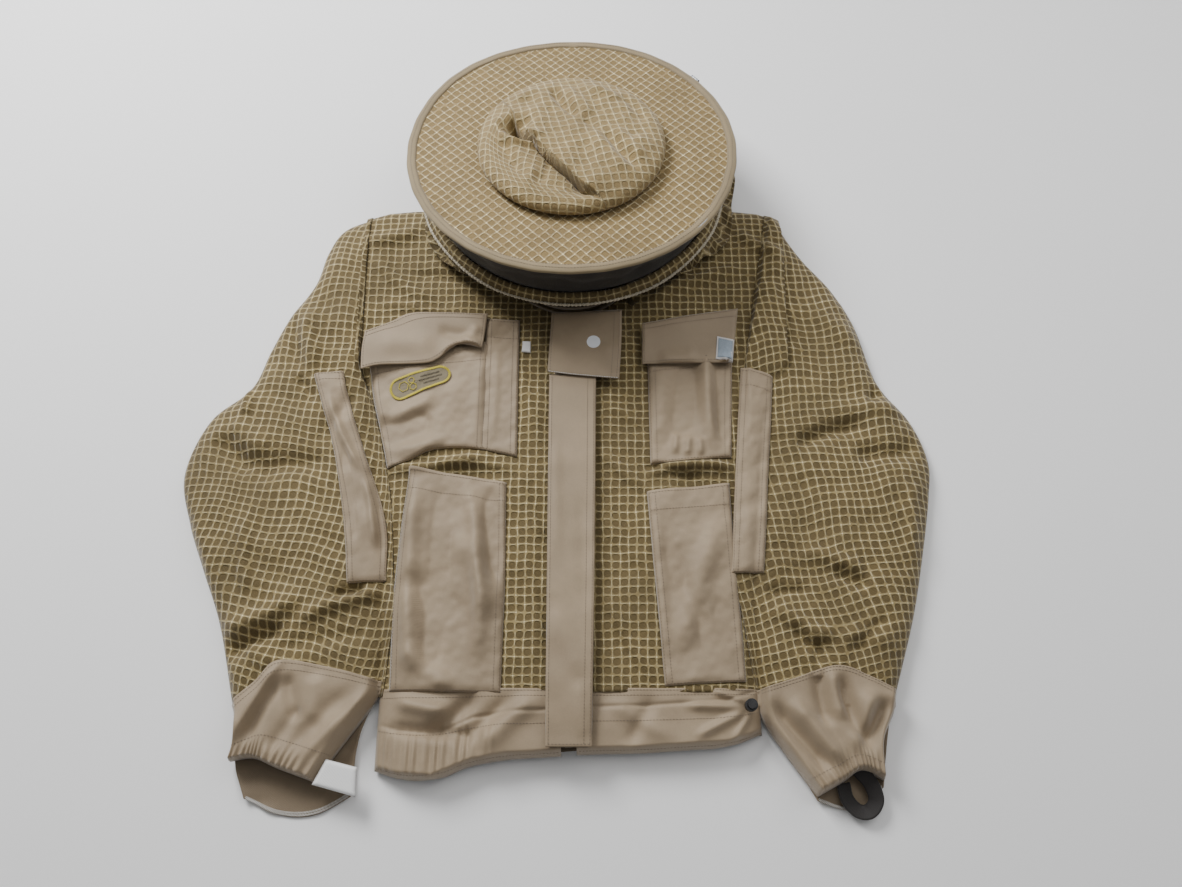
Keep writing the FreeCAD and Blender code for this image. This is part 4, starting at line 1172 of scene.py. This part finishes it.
CROWN_AHEAD = -6.0
CROWN_PROFILE = [(98, 2.6), (105, 4), (110, 8), (110.5, 14), (106, 20), (95, 25), (72, 29), (36, 31),
                 (0.5, 31)]
CROWN_FOOT = 100.0                      # where the crown is sewn to the brim
PLEAT_START = (-70.0, 38.0)
PLEAT_END = (50.0, -112.0)
PLEAT_BOW = 7.0                         # bend of the pleat's line
PLEAT_RISE, PLEAT_DROP = 8.0, 17.0      # above and below the crown on its two sides
PLEAT_LAP = 7.0                         # how far its lip leans over the slot
PLEAT_HIDDEN = 22.0                     # cloth out of sight under the lip
HOLLOW = (-60.0, 12.0)
HOLLOW_WIDE, HOLLOW_LONG, HOLLOW_DEEP = 13.0, 14.0, 19.0
CROWN_FOLDS = (
    ((-92, 40), (-76, -10), 6, 4, 3), ((-84, -2), (-30, -8), 6, 5, 5),
    ((-24, 78), (10, 22), 6, -5, 3), ((-8, 82), (26, 26), 8, 3, 3), ((10, 24), (36, -6), 7, -2.5, -3),
    ((34, 10), (82, -58), 7, -5, 4), ((48, 16), (94, -46), 8, 3, 3), ((-80, -6), (-58, -64), 6, -3),
    ((-70, 0), (-48, -62), 8, 2.5), ((-43, -46), (-46, -104), 7, 3, 2), ((-25, -34), (-34, -78), 6, -2),
    ((58, 70), (96, 24), 8, -4), ((20, 80), (60, 58), 8, 3), ((70, -10), (102, -20), 8, 3),
    ((-40, 80), (-70, 60), 9, 3), ((20, 10), (60, -70), 16, 3),
)


def crown():
    """Soft crown, pushed in: one long pleat lies over a dark slot, with a curled hollow at its top."""
    rim = curve_through(CROWN_PROFILE, 190)
    theta = np.linspace(0, math.tau, 560)[None, :] + math.pi / 2
    x = rim[:, :1] * np.cos(theta)
    y = rim[:, :1] * np.sin(theta)
    inside = smooth((104 - np.hypot(x, y)) / 22)
    dx, dy = PLEAT_END[0] - PLEAT_START[0], PLEAT_END[1] - PLEAT_START[1]
    length = math.hypot(dx, dy)
    along = ((x - PLEAT_START[0]) * dx + (y - PLEAT_START[1]) * dy) / length ** 2
    beyond = ((y - PLEAT_START[1]) * dx - (x - PLEAT_START[0]) * dy) / length
    beyond = beyond + PLEAT_BOW * (1 - (2 * along - 1) ** 2)
    taper = smooth(along / 0.12 + 0.1) * smooth((1 - along) / 0.16)
    upper = smooth(beyond / 2.5 + 0.5)
    rise = PLEAT_RISE * upper * np.exp(-np.abs(beyond) / 30)
    step = rise - PLEAT_DROP * (1 - upper) * np.exp(-np.abs(beyond) / 24)
    from_hollow = ((x - HOLLOW[0]) / HOLLOW_WIDE) ** 2 + ((y - HOLLOW[1]) / HOLLOW_LONG) ** 2
    hollow = -HOLLOW_DEEP * np.exp(-from_hollow ** 1.5)
    soft = 1.6 * wander(x, y, 55, 81) + 0.8 * wander(x, y, 24, 82)
    z = rim[:, 1:] + inside * (taper * step + hollow + strokes(x, y, CROWN_FOLDS) + soft)
    z = np.maximum(z, 2.6 + 0 * theta)
    lap = PLEAT_LAP * taper * inside * np.exp(-((beyond - 2) / 5) ** 2)
    x = x + lap * dy / length
    y = y - lap * dx / length
    tilt = np.where(beyond > 0, math.radians(-14), math.radians(6))
    climb = np.linalg.norm(np.diff(rim, axis=0, append=rim[-1:]), axis=1)[::-1].cumsum()[::-1]
    stretch = ((climb + rim[-1, 0]) / rim[:, 0])[:, None]
    flat = np.stack([x * np.cos(tilt) - y * np.sin(tilt), x * np.sin(tilt) + y * np.cos(tilt)], -1)
    flat = flat * stretch[..., None]
    hidden = PLEAT_HIDDEN * (1 - upper) * taper * inside
    flat = flat - np.stack([dy, -dx], -1) / length * hidden[..., None]
    piece = cloth("hat_crown_cloth", *HAT.out(x, y + CROWN_AHEAD, z), flat, 1.4, closed=True)
    return finish_cloth(piece, crown_cloth, "hat", ["hat_crown"])


crown()


def crown_piping():
    """Cord sewn in where the crown meets the brim."""
    turn = np.linspace(0, math.tau, 400, endpoint=False)
    x, y = CROWN_FOOT * np.cos(turn), CROWN_AHEAD + CROWN_FOOT * np.sin(turn)
    line = np.stack(HAT.out(x, y, 3.2 + 0 * turn), -1)
    piece = tube("crown_base_piping", line, 1.5 + 0.15 * np.sin(turn * 60), 8, closed=True)
    dress(piece, binding_tape)
    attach(piece, "hat")


crown_piping()

# ---------------------------------------------------------------- stitching and trimmings

for name, body, rows in (
        ("left_chest_flap_cloth", "left_chest_flap", (("t", 2.2), ("t", 8), ("b", 3), ("l", 3), ("r", 3))),
        ("right_chest_flap_cloth", "right_chest_flap", (("t", 2.2), ("t", 8), ("b", 3), ("l", 3))),
        ("placket_cloth", "placket", (("r", 2.2), ("r", 8.5), ("l", 3), ("b", 3))),
        ("throat_tab_cloth", "throat_tab", (("l", 3), ("r", 3), ("r", 9), ("t", 3))),
        ("left_waistband_cloth", "jacket", (("t", 2.5), ("t", 9), ("b", 4), ("b", 40))),
        ("right_waistband_cloth", "jacket", (("t", 2.5), ("t", 9), ("b", 4), ("b", 40))),
        ("left_cuff_cloth", "left_sleeve", (("t", 2.5), ("t", 8), ("b", 16))),
        ("right_cuff_cloth", "right_sleeve", (("t", 2.5), ("t", 8), ("b", 16))),
        ("brim_binding_cloth", "hat", (("b", 1.6), ("b", 7.0)))):
    topstitch(name, body, rows)

stitched("throat_tab_white_line", edge_lines("throat_tab_cloth", (("b", 0.8),)), pale_thread, "throat_tab",
         long=2.6, step=2.8, fat=0.5)
for word in SLEEVES:
    stitched(f"{word}_cuff_overlock", edge_lines(f"{word}_cuff_back", (("b", 1.5), ("b", 3.5))), pale_thread,
             f"{word}_sleeve", long=3.2, step=1.6, fat=0.4, turn=0.9)


def lie_on(name, x, y):
    """Height of a cloth piece at each of some places."""
    grid = SURFACES[name].reshape(-1, 3)
    away = np.hypot(grid[:, 0][:, None] - np.ravel(x), grid[:, 1][:, None] - np.ravel(y))
    return grid[np.argmin(away, axis=0), 2].reshape(np.shape(x))


def small_strip(name, corners, ground, lift, material, body, nodes, thick=1.2, bulge=1.0, folds=()):
    """Strap, label or patch that lies on another cloth piece, or at a height of its own."""
    u, v, x, y = quad(corners, 16, 24)
    under = ground if isinstance(ground, float) else lie_on(ground, x, y)
    z = under + lift + (bulge + strokes(x, y, folds)) * rim_of(u, v, 0.1, 0.1)
    piece = cloth(name, x, y, z, arc_flat(x, y, z), thick)
    return finish_cloth(piece, material, body, nodes)


small_strip("wrist_strap_cloth", ((-263, -434), (-217, -446), (-218, -417), (-251, -409)), 24.0, 0,
            white_elastic, "left_sleeve", ["left_wrist_strap"], thick=1.4, bulge=2.5,
            folds=(((-256, -410), (-268, -436), 3, 2.5),))
small_strip("size_label_cloth", ((-60, 54), (-49, 53), (-49, 68), (-59, 69)), "left_front_cloth", 1.5,
            label_satin, "jacket", ["size_label"], bulge=1.4)
small_strip("woven_label_border", ((170, 40), (190, 35), (193, 65), (173, 70)), "right_chest_flap_cloth", 1.0,
            label_satin, "right_chest_flap", ["woven_label"], bulge=0.2, thick=0.7)
small_strip("woven_label_cloth", ((172, 42), (189, 37.5), (191.5, 63), (174.5, 67.5)),
            "right_chest_flap_cloth", 1.5, label_weave, "right_chest_flap", [], bulge=0.2, thick=0.6)
small_strip("left_hook_pad_cloth", ((-222, 42), (-172, 44), (-172, 60), (-222, 58)),
            "left_chest_pocket_cloth", 0.8, zip_tape, "jacket", ["flap_hook_pads"], thick=0.8, bulge=0.3)
small_strip("right_hook_pad_cloth", ((104, 44), (160, 44), (160, 62), (104, 62)),
            "right_chest_pocket_cloth", 0.8, zip_tape, "jacket", [], thick=0.8, bulge=0.3)


def badge():
    """Embroidered pill-shaped patch: a twill field, an overlocked border and a honeycomb motif."""
    centre, half_long, half_wide, lean = (-178.0, 14.0), 36.0, 11.5, math.radians(21)

    def on_patch(a, b):
        x = centre[0] + a * math.cos(lean) - b * math.sin(lean)
        y = centre[1] + a * math.sin(lean) + b * math.cos(lean)
        return x, y

    def lie(x, y):
        return lie_on("left_chest_pocket_cloth", x, y)

    straight = half_long - half_wide
    end = np.linspace(-0.5, 0.5, 40, endpoint=False) * math.pi
    side = np.linspace(-1, 1, 40, endpoint=False)
    edge_a = np.concatenate([half_wide * np.cos(end) + straight, -side * straight,
                             -half_wide * np.cos(end) - straight, side * straight])
    edge_b = np.concatenate([half_wide * np.sin(end), half_wide + 0 * side,
                             -half_wide * np.sin(end), 0 * side - half_wide])
    edge_b = edge_b * (1 - 0.14 * edge_a / half_long)
    shrink = np.linspace(1, 0.02, 10)[:, None]
    a, b = edge_a[None] * shrink, edge_b[None] * shrink
    a = np.concatenate([a, a[:, :1]], 1)
    b = np.concatenate([b, b[:, :1]], 1)
    x, y = on_patch(a, b)
    z = lie(x, y) + 1.5
    field = cloth("badge_field", x, y, z, np.stack([a, b], -1), 0.8)
    finish_cloth(field, badge_twill, "jacket", ["badge"])
    bx, by = on_patch(edge_a, edge_b)
    rim_line = np.stack([bx, by, lie(bx, by) + 1.6], -1)
    closed = np.concatenate([rim_line, rim_line[:1]])
    stitched("badge_border", [closed], badge_thread, "jacket", long=3.4, step=0.9, fat=0.55, lift=0.2,
             turn=1.35)
    lines = []
    for k, (ca, cb, size) in enumerate(((-20, 1, 6.2), (-9.5, -3.6, 4.2), (-9, 4.4, 3.6))):
        corner = np.arange(7) * math.tau / 6 + 0.3 * k
        hx, hy = on_patch(ca + size * np.cos(corner), cb + size * np.sin(corner))
        lines.append(np.stack([hx, hy, lie(hx, hy) + 2.0], -1))
    stitched("badge_honeycomb", lines, badge_thread, "jacket", long=1.5, step=1.1, fat=0.42, turn=0.5)
    bars = []
    for row, (start, stop) in enumerate(((2, 25), (-1, 27), (3, 22))):
        place = np.linspace(start, stop, 20)
        px, py = on_patch(place, np.full(20, 4.5 - 4.5 * row))
        bars.append(np.stack([px, py, lie(px, py) + 1.9], -1))
    stitched("badge_bars", bars, badge_dark, "jacket", long=2.4, step=1.5, fat=0.4, turn=1.2)


badge()


def thumb_loop():
    """Black elastic loop that hangs out of the right cuff."""
    line = curve_through([(300, -418, 14), (312, -432, 13), (317, -448, 11), (310, -459, 9), (299, -459, 7),
                          (289, -448, 6), (286, -432, 6)], 60)
    way = np.gradient(line, axis=0)
    way /= np.linalg.norm(way, axis=1)[:, None]
    side = np.stack([-way[:, 1], way[:, 0], np.full(len(way), 0.35)], -1)
    across = np.linspace(-7.5, 7.5, 9)
    grid = line[:, None] + side[:, None] * across[None, :, None]
    x, y, z = grid[..., 0], grid[..., 1], grid[..., 2]
    along = np.cumsum(np.linalg.norm(np.diff(line, axis=0, prepend=line[:1]), axis=1))
    flat = np.stack(np.meshgrid(across, along), -1)
    piece = cloth("thumb_loop_band", x, y, z, flat, 1.4)
    finish_cloth(piece, black_elastic, "right_sleeve", ["right_thumb_loop"])


thumb_loop()

for word, side in (("left", LEFT), ("right", RIGHT)):
    near, far = sorted(side * value for value in (4.2, 20))
    u, v, x, y = quad(((near, -398), (far, -398), (far, 88), (near, 88)), 90, 8)
    z = np.maximum(front_height(x, y), 29) + 1.2
    finish_cloth(cloth(f"{word}_zip_tape_cloth", x, y, z, arc_flat(x, y, z), 0.7), zip_tape, "jacket",
                 ["front_zip_tapes"])

# ---------------------------------------------------------------- hard parts kept from the model

KEPT = {
    "brim_wire": steel, "veil_hoop_wire": steel, "front_zip_chains": brass,
    "front_zip_end_box": brass, "front_slider": brass, "front_pull": brass, "ring_slider": brass,
    "ring_pull": brass, "collar_zip_teeth": brass, "hood_zip_teeth": brass, "cord_lock_cup": nylon,
    "cord_lock_button": nylon, "blank_sticker": film,
}
for node, material in KEPT.items():
    dress(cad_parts[node], material)

# ---------------------------------------------------------------- studio

LENS = 30.06                            # millimetres, on a 36 mm wide sensor
CAMERA_PLACE = (0.023, -0.470, 1.092)   # metres
CAMERA_TIP = 21.0                       # degrees from straight down
LAMPS = (                               # name, place in metres, size in metres, power in watts
    ("key", (-0.95, 1.15, 1.3), 0.8, 50),
    ("fill", (1.2, 0.7, 1.5), 1.4, 12),
    ("top", (0.1, 0.6, 2.0), 1.4, 7),
)


def studio():
    """Pale floor, soft light from behind the left shoulder, and the camera."""
    bpy.ops.mesh.primitive_plane_add(size=8, location=(0, 0, -0.0002))
    floor = bpy.context.object
    floor.name = "floor"
    s = Shader("pale_floor")
    where = s.node("TexCoord").outputs["Object"]
    s.finish(s.mix(s.noise(where, 3, 2), (0.90, 0.90, 0.90), (0.93, 0.93, 0.93)), 0.9)
    dress(floor, s.material)

    world = bpy.data.worlds.new("studio")
    bpy.context.scene.world = world
    world.use_nodes = True
    world.node_tree.nodes["Background"].inputs[0].default_value = (1, 1, 1, 1)
    world.node_tree.nodes["Background"].inputs[1].default_value = 0.26

    for name, place, size, power in LAMPS:
        data = bpy.data.lights.new(name, "AREA")
        data.energy = power
        data.size = size
        lamp = bpy.data.objects.new(name, data)
        lamp.location = place
        direction = -np.array(place)
        lamp.rotation_euler = (math.atan2(math.hypot(direction[0], direction[1]), -direction[2]), 0,
                               math.atan2(direction[1], direction[0]) + math.pi / 2 + math.pi)
        bpy.context.scene.collection.objects.link(lamp)

    view = bpy.data.cameras.new("camera")
    view.sensor_width = 36
    view.lens = LENS
    camera = bpy.data.objects.new("camera", view)
    camera.location = CAMERA_PLACE
    camera.rotation_euler = (math.radians(CAMERA_TIP), 0, 0)
    bpy.context.scene.collection.objects.link(camera)
    bpy.context.scene.camera = camera


studio()
